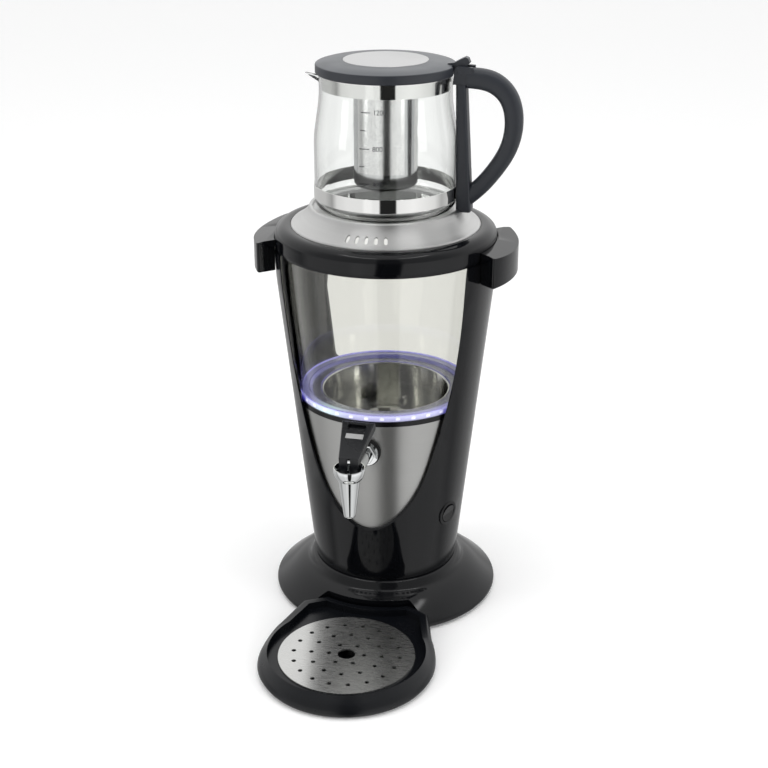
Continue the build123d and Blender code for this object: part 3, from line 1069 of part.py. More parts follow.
# Tap lever: a black paddle that leans back, on two cheeks in the cup whose heel lifts the plunger
with BuildPart() as tap_lever:
    with BuildSketch(Plane.YZ):
        with BuildLine():
            front_y = -TAP_REACH - LEVER_FRONT
            lean = radians(LEVER_LEAN)
            ridge_rise = (LEVER_FACE - LEVER_FRONT * cos(lean)) / sin(lean)
            heel_line = Line((front_y, LEVER_PIN_HEIGHT - CAM_BASE + CAM_GAP), cam_point(0))
            heel_cam = Polyline(*[cam_point(turn) for turn in range(0, int(CAM_SWING) + 1, 5)])
            Polyline(heel_cam @ 1, (-TAP_REACH + 8.2, LEVER_PIN_HEIGHT - 4.5),
                     (-TAP_REACH + 4.6, LEVER_PIN_HEIGHT + 1),
                     (-TAP_REACH + 4.8, LEVER_PIN_HEIGHT + 4),
                     lever_along(LEVER_LENGTH / 2, LEVER_FACE - 7.6),
                     lever_along(LEVER_LENGTH - LEVER_TIP_ROUND, LEVER_FACE - LEVER_TIP_DEPTH),
                     lever_along(LEVER_LENGTH, LEVER_FACE - LEVER_TIP_DEPTH + LEVER_TIP_ROUND),
                     lever_along(LEVER_LENGTH, LEVER_FACE - LEVER_TIP_ROUND),
                     lever_along(LEVER_LENGTH - LEVER_TIP_ROUND, LEVER_FACE),
                     (front_y, LEVER_PIN_HEIGHT + ridge_rise), heel_line @ 0)
        make_face()
    extrude(amount=LEVER_TIP_WIDTH / 2, both=True)
    with BuildSketch(lever_plane):
        with BuildLine():
            Polyline((LEVER_HUB_WIDTH / 2 - 1.2, -14), (LEVER_HUB_WIDTH / 2, 0),
                     (LEVER_TIP_WIDTH / 2, LEVER_LENGTH),
                     (-LEVER_TIP_WIDTH / 2, LEVER_LENGTH), (-LEVER_HUB_WIDTH / 2, 0),
                     (1.2 - LEVER_HUB_WIDTH / 2, -14),
                     close=True)
        make_face()
    extrude(amount=30, both=True, mode=Mode.INTERSECT)
    lever_out = lever_plane.offset(LEVER_FACE)
    paddle_face = tap_lever.faces().filter_by(GeomType.PLANE).filter_by(Axis(lever_plane.origin,
                                                                             lever_plane.z_dir))
    chamfer(paddle_face.sort_by(SortBy.AREA)[-1].edges().filter_by(Axis.X, reverse=True), LEVER_EDGE_ROUND)
    with BuildSketch(lever_out):
        with Locations((0, THUMB_SLOT[0])):
            RectangleRounded(THUMB_SLOT[1], THUMB_SLOT[2], 1.2)
    extrude(amount=-THUMB_SLOT_DEPTH, mode=Mode.SUBTRACT)
    with BuildSketch(lever_out):
        with Locations((0, PLATE_INLAY[0])):
            Rectangle(PLATE_INLAY[1] + 2 * SEAT, PLATE_INLAY[2] + 2 * SEAT)
    extrude(amount=-INLAY_THICKNESS, mode=Mode.SUBTRACT)
    with Locations((0, -TAP_REACH + CHEEK_SLOT_BACK, LEVER_PIN_HEIGHT + CHEEK_SLOT_TOP)):
        Box(CHEEK_GAP, 2 * LEVER_HUB_WIDTH, 2 * LEVER_HUB_WIDTH, align=(Align.CENTER, Align.MAX, Align.MAX),
            mode=Mode.SUBTRACT)
    with BuildSketch(Plane.YZ):
        with Locations((-TAP_REACH, LEVER_PIN_HEIGHT)):
            Circle(LEVER_PIN_RADIUS + PIN_GAP)
    extrude(amount=LEVER_TIP_WIDTH, both=True, mode=Mode.SUBTRACT)
save(tap_lever, "tap_lever")

# Small bright plate let into the lever's face
with BuildPart() as lever_plate:
    with BuildSketch(lever_out):
        with Locations((0, PLATE_INLAY[0])):
            Rectangle(PLATE_INLAY[1], PLATE_INLAY[2])
    extrude(amount=-INLAY_THICKNESS)
save(lever_plate, "lever_plate")

with BuildPart() as lever_pin:
    with BuildSketch(Plane.YZ):
        with Locations((-TAP_REACH, LEVER_PIN_HEIGHT)):
            Circle(LEVER_PIN_RADIUS)
    extrude(amount=LEVER_HUB_WIDTH / 2 - 0.5, both=True)
save(lever_pin, "lever_pin")

# Locknut, elbow and hose behind the panel
locknut_face = panel_radius(TAP_HEIGHT - LOCKNUT_RADIUS) - PANEL_THICKNESS - 1.2
with BuildPart() as tap_locknut:
    with BuildSketch(Plane.XZ.offset(locknut_face)):
        with Locations((0, TAP_HEIGHT)):
            RegularPolygon(LOCKNUT_RADIUS, 6)
            Circle(SHANK_RADIUS + SEAT, mode=Mode.SUBTRACT)
    extrude(amount=-LOCKNUT_THICKNESS)
save(tap_locknut, "tap_locknut")

elbow_face = locknut_face - LOCKNUT_THICKNESS
with BuildPart() as tap_elbow:
    with BuildSketch(Plane.XZ.offset(elbow_face)):
        with Locations((0, TAP_HEIGHT)):
            Circle(SHANK_RADIUS + 1.4)
    extrude(amount=-ELBOW_LENGTH)
    with Locations((0, -HOSE_Y, HOSE_TOP - 5)):
        Cylinder(HOSE_BORE - SEAT, TAP_HEIGHT - HOSE_TOP + 5, align=ON_FLOOR)
    with BuildSketch(Plane.XZ.offset(elbow_face)):
        with Locations((0, TAP_HEIGHT)):
            Circle(SHANK_RADIUS + SEAT)
    extrude(amount=-(elbow_face - SHANK_END + 0.2), mode=Mode.SUBTRACT)
    with BuildSketch(Plane.XZ.offset(elbow_face)):
        with Locations((0, TAP_HEIGHT)):
            Circle(NOZZLE_BORE)
    extrude(amount=-(ELBOW_LENGTH - 1.5), mode=Mode.SUBTRACT)
    with Locations((0, -HOSE_Y, HOSE_TOP - 5)):
        Cylinder(HOSE_BORE - 1.1, TAP_HEIGHT - HOSE_TOP + 5, align=ON_FLOOR, mode=Mode.SUBTRACT)
save(tap_elbow, "tap_elbow")

with BuildPart() as outlet_hose:
    with BuildLine():
        hose_path = FilletPolyline((0, -HOSE_Y, HOSE_TOP), (0, -HOSE_Y, HOSE_LOW), (0, HOSE_PORT_Y, HOSE_LOW),
                                   (0, HOSE_PORT_Y, BOWL_FLOOR - BOWL_WALL - 6), radius=HOSE_BEND)
    with BuildSketch(Plane(origin=hose_path @ 0, z_dir=hose_path % 0)):
        Circle(HOSE_RADIUS)
        Circle(HOSE_BORE, mode=Mode.SUBTRACT)
    sweep(path=hose_path)
save(outlet_hose, "outlet_hose")

# Power switch: a round bezel snapped into the side of the shell, and its rocker
with BuildPart() as switch_housing:
    with BuildSketch(switch_plane.offset(-SWITCH_POCKET)):
        Circle(SWITCH_BEZEL_RADIUS)
    extrude(amount=SWITCH_POCKET + SWITCH_PROUD)
    with BuildSketch(switch_plane.offset(-SWITCH_POCKET)):
        Circle(SWITCH_HOLE_RADIUS)
    extrude(amount=-SWITCH_DEPTH)
    fillet(switch_housing.edges().sort_by(switch_axis)[-1], 0.5)
    with BuildSketch(switch_plane.offset(SWITCH_PROUD)):
        Circle(ROCKER_RADIUS + 0.8)
    extrude(amount=-(SWITCH_DEPTH - 1), mode=Mode.SUBTRACT)
    with BuildSketch(switch_plane.offset(-SWITCH_POCKET - SWITCH_DEPTH)):
        Rectangle(14, 12)
    extrude(amount=-8)
    with BuildSketch(switch_plane.offset(-SWITCH_POCKET - SWITCH_DEPTH - 8)):
        with Locations((0, 4), (0, -4)):
            Rectangle(6.3, 0.8)
    extrude(amount=-7)
save(switch_housing, "switch_housing")

rocker_plane = switch_plane.offset(-ROCKER_PIVOT_DEPTH).rotated((ROCKER_TILT, 0, 0))
with BuildPart() as switch_rocker:
    with BuildSketch(rocker_plane.offset(-ROCKER_HEEL)):
        Circle(ROCKER_RADIUS)
    extrude(amount=ROCKER_HEEL + ROCKER_TOP)
    with BuildSketch(Plane(origin=rocker_plane.origin, x_dir=rocker_plane.y_dir, z_dir=rocker_plane.x_dir)):
        Polygon((-ROCKER_RADIUS, -ROCKER_HEEL), (ROCKER_RADIUS, -ROCKER_HEEL), (ROCKER_RADIUS, ROCKER_TOP),
                (0, ROCKER_TOP - ROCKER_DISH), (-ROCKER_RADIUS, ROCKER_TOP), align=None)
    extrude(amount=ROCKER_RADIUS, both=True, mode=Mode.INTERSECT)
save(switch_rocker, "switch_rocker")

# Cord gland: a rubber bush at the back, where the supply cord would enter
with BuildPart() as cord_gland:
    with BuildSketch(Plane.XZ):
        with Locations((0, GLAND_HEIGHT)):
            Circle(GLAND_RADIUS + 3)
    extrude(amount=-gland_face)
    with BuildSketch(Plane.XZ):
        with BuildLine():
            Polyline((0, SHELL_BOTTOM), (shell_radius(SHELL_BOTTOM) + SEAT, SHELL_BOTTOM),
                     (shell_radius(SHELL_BEND) + SEAT, SHELL_BEND), (0, SHELL_BEND), close=True)
        make_face()
    revolve(axis=Axis.Z, mode=Mode.SUBTRACT)
    with BuildSketch(Plane.XZ.offset(-gland_face)):
        with Locations((0, GLAND_HEIGHT)):
            Circle(GLAND_RADIUS)
    extrude(amount=GLAND_LENGTH)
    with BuildSketch(Plane.XZ.offset(-gland_face)):
        with Locations((0, GLAND_HEIGHT)):
            Circle(GLAND_BORE)
    extrude(amount=GLAND_LENGTH, mode=Mode.SUBTRACT)
save(cord_gland, "cord_gland")

# Drip tray: a rounded rim round a shelf for the plate and a well that catches the drips
with BuildPart() as drip_tray:
    with BuildSketch(Plane.XY.offset(TRAY_BOTTOM)):
        add(tray_plan.sketch)
    extrude(amount=TRAY_TOP - TRAY_BOTTOM)
    fillet(drip_tray.edges().group_by(Axis.Z)[-1], TRAY_ROUND)
    fillet(drip_tray.edges().group_by(Axis.Z)[0], 1.5)
    with BuildSketch(Plane.XY.offset(TRAY_FLOOR)):
        add(tray_plan.sketch)
        offset(amount=-TRAY_RIM, mode=Mode.REPLACE)
    extrude(amount=TRAY_TOP, mode=Mode.SUBTRACT)
    with BuildSketch(Plane.XY.offset(WELL_FLOOR)):
        with Locations((0, TRAY_CENTRE_Y)):
            Circle(WELL_RADIUS)
    extrude(amount=TRAY_FLOOR, mode=Mode.SUBTRACT)
save(drip_tray, "drip_tray")

# Drip plate: brushed steel with rings of holes and a finger hole to lift it by
with BuildPart() as drip_plate:
    with Locations((0, TRAY_CENTRE_Y, TRAY_FLOOR)):
        Cylinder(PLATE_RADIUS, PLATE_THICKNESS, align=ON_FLOOR)
        Hole(PLATE_CENTRE_HOLE)
        for ring_radius, hole_count in PLATE_RINGS:
            with PolarLocations(ring_radius, hole_count, start_angle=PLATE_TURN):
                Hole(PLATE_HOLE_RADIUS)
save(drip_plate, "drip_plate")
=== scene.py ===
import math

import bmesh
import bpy
from mathutils import Matrix, Vector
from mathutils.bvhtree import BVHTree


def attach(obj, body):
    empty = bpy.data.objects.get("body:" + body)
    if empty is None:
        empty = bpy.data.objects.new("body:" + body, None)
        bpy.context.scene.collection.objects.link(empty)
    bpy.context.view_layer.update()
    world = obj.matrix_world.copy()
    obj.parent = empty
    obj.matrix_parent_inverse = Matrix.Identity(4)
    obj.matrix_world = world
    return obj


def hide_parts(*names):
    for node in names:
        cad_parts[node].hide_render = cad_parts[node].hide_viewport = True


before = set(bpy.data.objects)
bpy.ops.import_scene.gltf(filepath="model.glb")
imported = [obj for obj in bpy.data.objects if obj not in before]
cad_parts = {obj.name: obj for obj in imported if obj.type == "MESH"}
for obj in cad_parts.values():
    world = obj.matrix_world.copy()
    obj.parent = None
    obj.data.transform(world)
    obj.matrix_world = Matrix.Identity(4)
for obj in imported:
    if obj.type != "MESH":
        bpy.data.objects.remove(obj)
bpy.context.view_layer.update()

# Foot: a wide dome injection-moulded in black ABS and polished in the mould, with a rounded
# rim, a collar that takes the body and a notch in front for the drip tray's neck. The gloss
# gives sharp, faintly wavy reflections over a blue-black ground.
MM = 0.001


def linear(hex_colour):
    """sRGB hex colour as the linear RGBA that a shader socket takes."""
    parts = [int(hex_colour[i:i + 2], 16) / 255 for i in (1, 3, 5)]
    return [p / 12.92 if p <= 0.04045 else ((p + 0.055) / 1.055) ** 2.4 for p in parts] + [1.0]


def add_node(material, kind, settings=(), links=()):
    """Add a node to a material, with its settings (socket, attribute or ramp stops) and its links."""
    node = material.node_tree.nodes.new(kind)
    for key, value in dict(settings).items():
        if key == "stops":
            first, last = node.color_ramp.elements
            first.position, first.color = value[0][0], linear(value[0][1])
            last.position, last.color = value[-1][0], linear(value[-1][1])
            for place, colour in value[1:-1]:
                node.color_ramp.elements.new(place).color = linear(colour)
        elif isinstance(key, int) or key in node.inputs:
            node.inputs[key].default_value = value
        else:
            setattr(node, key, value)
    for socket, (source, output) in dict(links).items():
        material.node_tree.links.new(source.outputs[output], node.inputs[socket])
    return node


def new_material(name):
    """Empty node material with its principled shader and its object coordinates."""
    material = bpy.data.materials.new(name)
    material.use_nodes = True
    shader = material.node_tree.nodes["Principled BSDF"]
    place = add_node(material, "ShaderNodeTexCoord")
    return material, shader, place


def set_shader(shader, **values):
    """Set plain values on a principled shader's sockets."""
    for name, value in values.items():
        shader.inputs[name.replace("_", " ")].default_value = value


def link(material, source, output, shader, socket):
    """Link one output to one socket."""
    material.node_tree.links.new(source.outputs[output], shader.inputs[socket])


def gloss_plastic(name, colour, roughness, wave_mm=18.0, wave_height=0.02):
    """Polished moulding: dark ground, sharp reflection, slow waviness and faint wiping marks."""
    material, shader, place = new_material(name)
    set_shader(shader, Base_Color=linear(colour), IOR=1.49, Specular_IOR_Level=0.38)
    wave = add_node(material, "ShaderNodeTexNoise", {"Scale": 1 / (wave_mm * MM), "Detail": 1.5},
                    {"Vector": (place, "Object")})
    bump = add_node(material, "ShaderNodeBump", {"Strength": 0.25, "Distance": wave_height * MM},
                    {"Height": (wave, "Fac")})
    wipe = add_node(material, "ShaderNodeTexNoise", {"Scale": 1 / (22 * MM), "Detail": 6.0, "Roughness": 0.7},
                    {"Vector": (place, "Object")})
    spread = add_node(material, "ShaderNodeMapRange",
                      {"From Min": 0.35, "From Max": 0.75, "To Min": roughness, "To Max": roughness + 0.05},
                      {"Value": (wipe, "Fac")})
    link(material, bump, "Normal", shader, "Normal")
    link(material, spread, "Result", shader, "Roughness")
    return material


def smooth_copy(node, name, body, material, crease=32):
    """Merged, smooth-shaded copy of a CAD node's mesh that stands for the node."""
    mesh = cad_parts[node].data.copy()
    mesh.name = name
    shape = bmesh.new()
    shape.from_mesh(mesh)
    bmesh.ops.remove_doubles(shape, verts=shape.verts, dist=0.002 * MM)
    bmesh.ops.dissolve_degenerate(shape, edges=shape.edges, dist=0.002 * MM)
    shape.to_mesh(mesh)
    shape.free()
    for spare in ("custom_normal", "sharp_edge", "sharp_face"):
        if spare in mesh.attributes:
            mesh.attributes.remove(mesh.attributes[spare])
    mesh.materials.clear()
    mesh.materials.append(material)
    mesh.polygons.foreach_set("use_smooth", [True] * len(mesh.polygons))
    mesh.set_sharp_from_angle(angle=math.radians(crease))
    piece = bpy.data.objects.new(name, mesh)
    bpy.context.collection.objects.link(piece)
    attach(piece, body)
    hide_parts(node)
    return piece


def dress(node, material):
    """Give a CAD node a better material."""
    node_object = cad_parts[node]
    node_object.data.materials.clear()
    node_object.data.materials.append(material)


piano_black = gloss_plastic("abs_polished_black", "#08090c", 0.07)
smooth_copy("foot_shell", "foot_moulding", "stand", piano_black)

# Base plate, screws and pads: the plate is moulded in matt black with an eroded finish, the
# screws are zinc-plated and the pads are stuck-on rubber.


def satin_plastic(name, colour, roughness, grain_mm=0.55, grain_height=0.02):
    """Eroded moulding: fine even grain that breaks up the reflection, with slight colour drift."""
    material, shader, place = new_material(name)
    set_shader(shader, IOR=1.5)
    grain = add_node(material, "ShaderNodeTexNoise", {"Scale": 1 / (grain_mm * MM), "Detail": 2.0},
                     {"Vector": (place, "Object")})
    bump = add_node(material, "ShaderNodeBump", {"Strength": 0.35, "Distance": grain_height * MM},
                    {"Height": (grain, "Fac")})
    drift = add_node(material, "ShaderNodeTexNoise", {"Scale": 1 / (30 * MM), "Detail": 3.0},
                     {"Vector": (place, "Object")})
    base = linear(colour)
    shade = add_node(material, "ShaderNodeMix", {"data_type": "RGBA"}, {0: (drift, "Fac")})
    shade.inputs[6].default_value = [c * 0.88 for c in base[:3]] + [1.0]
    shade.inputs[7].default_value = [c * 1.12 for c in base[:3]] + [1.0]
    spread = add_node(material, "ShaderNodeMapRange",
                      {"From Min": 0.3, "From Max": 0.7, "To Min": roughness - 0.04,
                       "To Max": roughness + 0.05},
                      {"Value": (drift, "Fac")})
    link(material, bump, "Normal", shader, "Normal")
    link(material, shade, 2, shader, "Base Color")
    link(material, spread, "Result", shader, "Roughness")
    return material


def bare_metal(name, colour, roughness, grain_mm=0.8, grain_height=0.004):
    """Turned or plated metal with a fine irregular finish."""
    material, shader, place = new_material(name)
    set_shader(shader, Base_Color=linear(colour), Metallic=1.0)
    grain = add_node(material, "ShaderNodeTexNoise", {"Scale": 1 / (grain_mm * MM), "Detail": 3.0},
                     {"Vector": (place, "Object")})
    bump = add_node(material, "ShaderNodeBump", {"Strength": 0.3, "Distance": grain_height * MM},
                    {"Height": (grain, "Fac")})
    spread = add_node(material, "ShaderNodeMapRange",
                      {"From Min": 0.3, "From Max": 0.7, "To Min": roughness * 0.8,
                       "To Max": roughness * 1.25},
                      {"Value": (grain, "Fac")})
    link(material, bump, "Normal", shader, "Normal")
    link(material, spread, "Result", shader, "Roughness")
    return material


base_plastic = satin_plastic("pp_eroded_black", "#17181a", 0.55)
zinc_steel = bare_metal("steel_zinc_plated", "#b4b6b8", 0.34)
pad_rubber = satin_plastic("rubber_matt_black", "#141414", 0.8, grain_mm=0.9, grain_height=0.05)
dress("base_plate", base_plastic)
dress("base_screws", zinc_steel)
dress("rubber_feet", pad_rubber)

# Body shell: the tall black cone of the stand in the same polished ABS, cut away in a U at the
# front and in a window at the back, so that two pillars are left to hold the top ring.
smooth_copy("body_shell", "body_moulding", "stand", piano_black)

# Front panel: 1 mm stainless sheet rolled to the cone and brushed along the roll, which draws
# the reflections out into soft upright bands.


def brushed_steel(name, colour, roughness, stretch, streak_mm=0.5, depth=0.006):
    """Brushed steel: long thin scratches round the axis or across, which draw reflections out over them."""
    material, shader, place = new_material(name)
    set_shader(shader, Base_Color=linear(colour), Metallic=1.0, Anisotropic=0.85, Anisotropic_Rotation=0.25)
    along = add_node(material, "ShaderNodeVectorMath", {"operation": "CROSS_PRODUCT", 0: (0.0, 0.0, 1.0)},
                     {1: (place, "Object")})
    turn = add_node(material, "ShaderNodeMapping", {"Scale": stretch}, {"Vector": (place, "Object")})
    streak = add_node(material, "ShaderNodeTexNoise",
                      {"Scale": 1 / (streak_mm * MM), "Detail": 4.0, "Roughness": 0.65},
                      {"Vector": (turn, "Vector")})
    bump = add_node(material, "ShaderNodeBump", {"Strength": 0.5, "Distance": depth * MM},
                    {"Height": (streak, "Fac")})
    spread = add_node(material, "ShaderNodeMapRange",
                      {"From Min": 0.3, "From Max": 0.7, "To Min": roughness - 0.07,
                       "To Max": roughness + 0.09},
                      {"Value": (streak, "Fac")})
    link(material, along, "Vector", shader, "Tangent")
    link(material, bump, "Normal", shader, "Normal")
    link(material, spread, "Result", shader, "Roughness")
    return material


panel_steel = brushed_steel("stainless_brushed_level", "#c6c6c4", 0.4, (0.02, 0.02, 1.0))
smooth_copy("front_panel", "front_sheet", "stand", panel_steel)

# Cradle, light board and lamps: a black ring that sits on the shell's ledge, with a white
# board of small lamps under the clear ring.
cradle_black = gloss_plastic("abs_black_inner", "#0b0b0d", 0.2)
smooth_copy("tank_cradle", "cradle_ring", "stand", cradle_black)
board_white = satin_plastic("board_white", "#d8dade", 0.5)
dress("led_board", board_white)


def lamp(name, colour, strength):
    """Lit lamp chip behind its own small lens."""
    material, shader, place = new_material(name)
    set_shader(shader, Base_Color=linear("#f4f6ff"), Emission_Color=linear(colour),
               Emission_Strength=strength,
               Roughness=0.2)
    return material


dress("leds", lamp("lamp_lit_blue", "#8fa4ff", 0.5))

# Clear ring: polycarbonate, turned and polished, over the lamps. Its outer band has a painted
# glow for the lamps' light, lilac over a deep violet lower edge with a white spot at every lamp,
# and the step towards the bowl stays clear.
RING_FOOT = 211.0 * MM
RING_BAND_HEIGHT = 4.7 * MM
RING_STEP = 73.2 * MM
RING_STEP_WIDTH = 2.5 * MM
LAMP_COUNT = 36


def lit_ring(name):
    """Clear plastic with a painted glow in its outer band for the lamps' light: white at the lamps, violet to
    lilac between.
    """
    material, shader, place = new_material(name)
    set_shader(shader, Base_Color=linear("#dfe1e6"), Roughness=0.16, IOR=1.58, Transmission_Weight=0.7)
    split = add_node(material, "ShaderNodeSeparateXYZ", {}, {"Vector": (place, "Object")})
    level = add_node(material, "ShaderNodeCombineXYZ", {}, {"X": (split, "X"), "Y": (split, "Y")})
    radius = add_node(material, "ShaderNodeVectorMath", {"operation": "LENGTH"}, {0: (level, "Vector")})
    band = add_node(material, "ShaderNodeMapRange",
                    {"interpolation_type": "SMOOTHSTEP", "From Min": RING_STEP,
                     "From Max": RING_STEP + RING_STEP_WIDTH,
                     "To Min": 0.015, "To Max": 0.42}, {"Value": (radius, "Value")})
    height = add_node(material, "ShaderNodeMapRange",
                      {"From Min": RING_FOOT, "From Max": RING_FOOT + RING_BAND_HEIGHT},
                      {"Value": (split, "Z")})
    tint = add_node(material, "ShaderNodeValToRGB",
                    {"stops": ((0.0, "#24149c"), (0.45, "#3a26cc"), (0.7, "#5a4fe0"), (0.9, "#8c88e6"),
                               (1.0, "#9a98e2"))},
                    {"Fac": (height, "Result")})
    turn = add_node(material, "ShaderNodeMath", {"operation": "ARCTAN2"}, {0: (split, "Y"), 1: (split, "X")})
    ripple = add_node(material, "ShaderNodeMath", {"operation": "MULTIPLY", 1: LAMP_COUNT},
                      {0: (turn, "Value")})
    peak = add_node(material, "ShaderNodeMath", {"operation": "COSINE"}, {0: (ripple, "Value")})
    spot = add_node(material, "ShaderNodeMapRange",
                    {"interpolation_type": "SMOOTHSTEP", "From Min": 0.45,
                     "From Max": 0.95}, {"Value": (peak, "Value")})
    middle = add_node(material, "ShaderNodeValToRGB",
                      {"stops": ((0.0, "#000000"), (0.2, "#000000"), (0.45, "#ffffff"), (0.75, "#c0c0c0"),
                                 (1.0, "#202020"))},
                      {"Fac": (height, "Result")})
    painted_spot_glow = add_node(material, "ShaderNodeMath", {"operation": "MULTIPLY"},
                    {0: (spot, "Result"), 1: (middle, "Color")})
    # painted glow: a colder, nearly white stretch at the front left, where the blue and the white lamps mix
    cold = add_node(material, "ShaderNodeMapRange",
                    {"interpolation_type": "SMOOTHSTEP", "From Min": 0.34, "From Max": 0.0},
                    {"Value": (add_node(material, "ShaderNodeMath", {"operation": "ABSOLUTE"},
                                        {0: (add_node(material, "ShaderNodeMath",
                                                      {"operation": "ADD", 1: math.radians(119)},
                                                      {0: (turn, "Value")}), "Value")}), "Value")})
    cold_painted_glow = add_node(material, "ShaderNodeMix", {"data_type": "RGBA"},
                         {0: (cold, "Result"), 6: (tint, "Color")})
    cold_painted_glow.inputs[7].default_value = linear("#c4ecf6")
    painted_glow_colour = add_node(material, "ShaderNodeMix", {"data_type": "RGBA"},
                          {0: (painted_spot_glow, "Value"), 6: (cold_painted_glow, 2)})
    painted_glow_colour.inputs[7].default_value = (1.5, 1.5, 1.8, 1.0)
    # painted shade: the glow is painted weaker on the far side, which is seen through two glass walls
    front = add_node(material, "ShaderNodeMapRange",
                     {"interpolation_type": "SMOOTHSTEP", "From Min": 0.05, "From Max": -0.03,
                      "To Min": 0.3, "To Max": 1.0},
                     {"Value": (split, "Y")})
    power = add_node(material, "ShaderNodeMath", {"operation": "MULTIPLY"},
                     {0: (band, "Result"), 1: (front, "Result")})
    clear = add_node(material, "ShaderNodeMapRange", {"From Min": RING_STEP,
                                                      "From Max": RING_STEP + RING_STEP_WIDTH,
                                                      "To Min": 0.8, "To Max": 0.1}, {"Value": (radius,
                                                                                                "Value")})
    link(material, clear, "Result", shader, "Transmission Weight")
    # painted glow: the colour and strength below go into the ring's emission, since the ring is no lamp
    link(material, painted_glow_colour, 2, shader, "Emission Color")
    link(material, power, "Value", shader, "Emission Strength")
    return material


smooth_copy("light_ring", "lit_ring", "stand", lit_ring("polycarbonate_clear_lit"))

# Seals: silicone gaskets under and over the tank glass. The lower one is milky and lies on the
# lit ring, and a painted lilac glow stands in for the ring's light in it; the upper one is grey.
seal_silicone = satin_plastic("silicone_grey", "#55585a", 0.6, grain_mm=1.2)
dress("upper_seal", seal_silicone)
milky, milky_shader, milky_place = new_material("silicone_milky_lit")
# painted glow: the seal's lilac emission stands in for the light of the ring under it
set_shader(milky_shader, Base_Color=linear("#d9d9ee"), Roughness=0.5, Emission_Strength=0.5)
cloud = add_node(milky, "ShaderNodeTexNoise", {"Scale": 1 / (9 * MM), "Detail": 2.0},
                 {"Vector": (milky_place, "Object")})
painted_seal_glow = add_node(milky, "ShaderNodeValToRGB", {"stops": ((0.3, "#8a85de"), (0.7, "#aaa8e4"))},
                 {"Fac": (cloud, "Fac")})
link(milky, painted_seal_glow, "Color", milky_shader, "Emission Color")
dress("lower_seal", milky)

# Tank glass: borosilicate tube drawn into a cone, 3 mm thick, ground at both ends. It is clear
# with a faint warm green in its thickness.


def clear_glass(name, colour, ior, wave_height):
    """Blown or drawn glass: smooth, with a slow waviness that bends what is seen through it."""
    material, shader, place = new_material(name)
    set_shader(shader, Base_Color=linear(colour), Roughness=0.0, IOR=ior, Transmission_Weight=1.0)
    wave = add_node(material, "ShaderNodeTexNoise", {"Scale": 1 / (45 * MM), "Detail": 1.0},
                    {"Vector": (place, "Object")})
    bump = add_node(material, "ShaderNodeBump", {"Strength": 0.2, "Distance": wave_height * MM},
                    {"Height": (wave, "Fac")})
    link(material, bump, "Normal", shader, "Normal")
    return material


smooth_copy("tank_glass", "tank_cylinder", "stand", clear_glass("borosilicate_tank", "#f2f2ee", 1.47, 0.02))

# Heating bowl: stainless steel, deep-drawn and machine-polished round its axis, with a rolled
# rim; the water probe is a turned stud in its back wall.


def spun_steel(name, colour, roughness, ring_mm=0.7, depth=0.004):
    """Steel brushed or polished while it turns: fine rings round the axis, which fan reflections out."""
    material, shader, place = new_material(name)
    set_shader(shader, Base_Color=linear(colour), Metallic=1.0, Anisotropic=0.9, Anisotropic_Rotation=0.25)
    along = add_node(material, "ShaderNodeVectorMath", {"operation": "CROSS_PRODUCT", 0: (0.0, 0.0, 1.0)},
                     {1: (place, "Object")})
    split = add_node(material, "ShaderNodeSeparateXYZ", {}, {"Vector": (place, "Object")})
    flat = add_node(material, "ShaderNodeCombineXYZ", {}, {"X": (split, "X"), "Y": (split, "Y")})
    radius = add_node(material, "ShaderNodeVectorMath", {"operation": "LENGTH"}, {0: (flat, "Vector")})
    rings = add_node(material, "ShaderNodeCombineXYZ", {}, {"X": (radius, "Value"), "Z": (split, "Z")})
    streak = add_node(material, "ShaderNodeTexNoise",
                      {"Scale": 1 / (ring_mm * MM), "Detail": 4.0, "Roughness": 0.6},
                      {"Vector": (rings, "Vector")})
    bump = add_node(material, "ShaderNodeBump", {"Strength": 0.45, "Distance": depth * MM},
                    {"Height": (streak, "Fac")})
    spread = add_node(material, "ShaderNodeMapRange",
                      {"From Min": 0.3, "From Max": 0.7, "To Min": roughness - 0.05,
                       "To Max": roughness + 0.08},
                      {"Value": (streak, "Fac")})
    link(material, along, "Vector", shader, "Tangent")
    link(material, bump, "Normal", shader, "Normal")
    link(material, spread, "Result", shader, "Roughness")
    return material


bowl_steel = spun_steel("stainless_spun_bowl", "#d9d9d5", 0.15)
smooth_copy("tank_bowl", "drawn_bowl", "stand", bowl_steel)
smooth_copy("water_probe", "probe_stud", "stand", bare_metal("stainless_turned", "#e4e4e2", 0.12))
heater_metal = bare_metal("aluminium_brazed", "#a8a8a6", 0.45, grain_mm=1.5, grain_height=0.03)
for part in ("heater_plate", "heating_element"):
    dress(part, heater_metal)
dress("thermostat", zinc_steel)

# Top ring and carrying handles: glossy black mouldings; the ring clamps the tank glass and
# seats the steel lid, and the handles are screwed to the pillars.
smooth_copy("top_ring", "top_collar", "stand", piano_black)
smooth_copy("right_handle", "right_lug", "stand", piano_black)
smooth_copy("left_handle", "left_lug", "stand", piano_black)
dress("handle_screws", zinc_steel)

# Tank lid: stainless steel pressed into a saddle for the teapot and brushed round its axis,
# with five steam slots at the front.
lid_steel = spun_steel("stainless_spun_lid", "#d6d6d5", 0.4)
smooth_copy("tank_lid", "saddle_lid", "tank_lid", lid_steel)

# Teapot glass: blown borosilicate, 2 mm thick, with a lip drawn out on the left.
pot_material = clear_glass("borosilicate_pot", "#fcfdfc", 1.47, 0.008)
pot_jug = smooth_copy("pot_glass", "pot_jug", "teapot", pot_material)

# Capacity marks: dark grey enamel screen-printed and fired on the outside of the pot, with a
# long line and a plain number at each full mark and a short line half-way between. The photo
# shows the lines, but its numbers can't be read: these are assumed.
MARK_LEFT = -8.5
MARK_LONG_END = -0.5
MARK_SHORT_END = -4.4
NUMBER_START = 1.8
FULL_MARKS = ((428.3, "400"), (459.4, "800"), (490.2, "1200"))
HALF_MARKS = (443.9, 475.1)
MARK_HEIGHT = 0.7
PRINT_DEPTH = 0.05
NUMBER_SIZE = 6.2
POT_GIRTH_RADIUS = 65.0


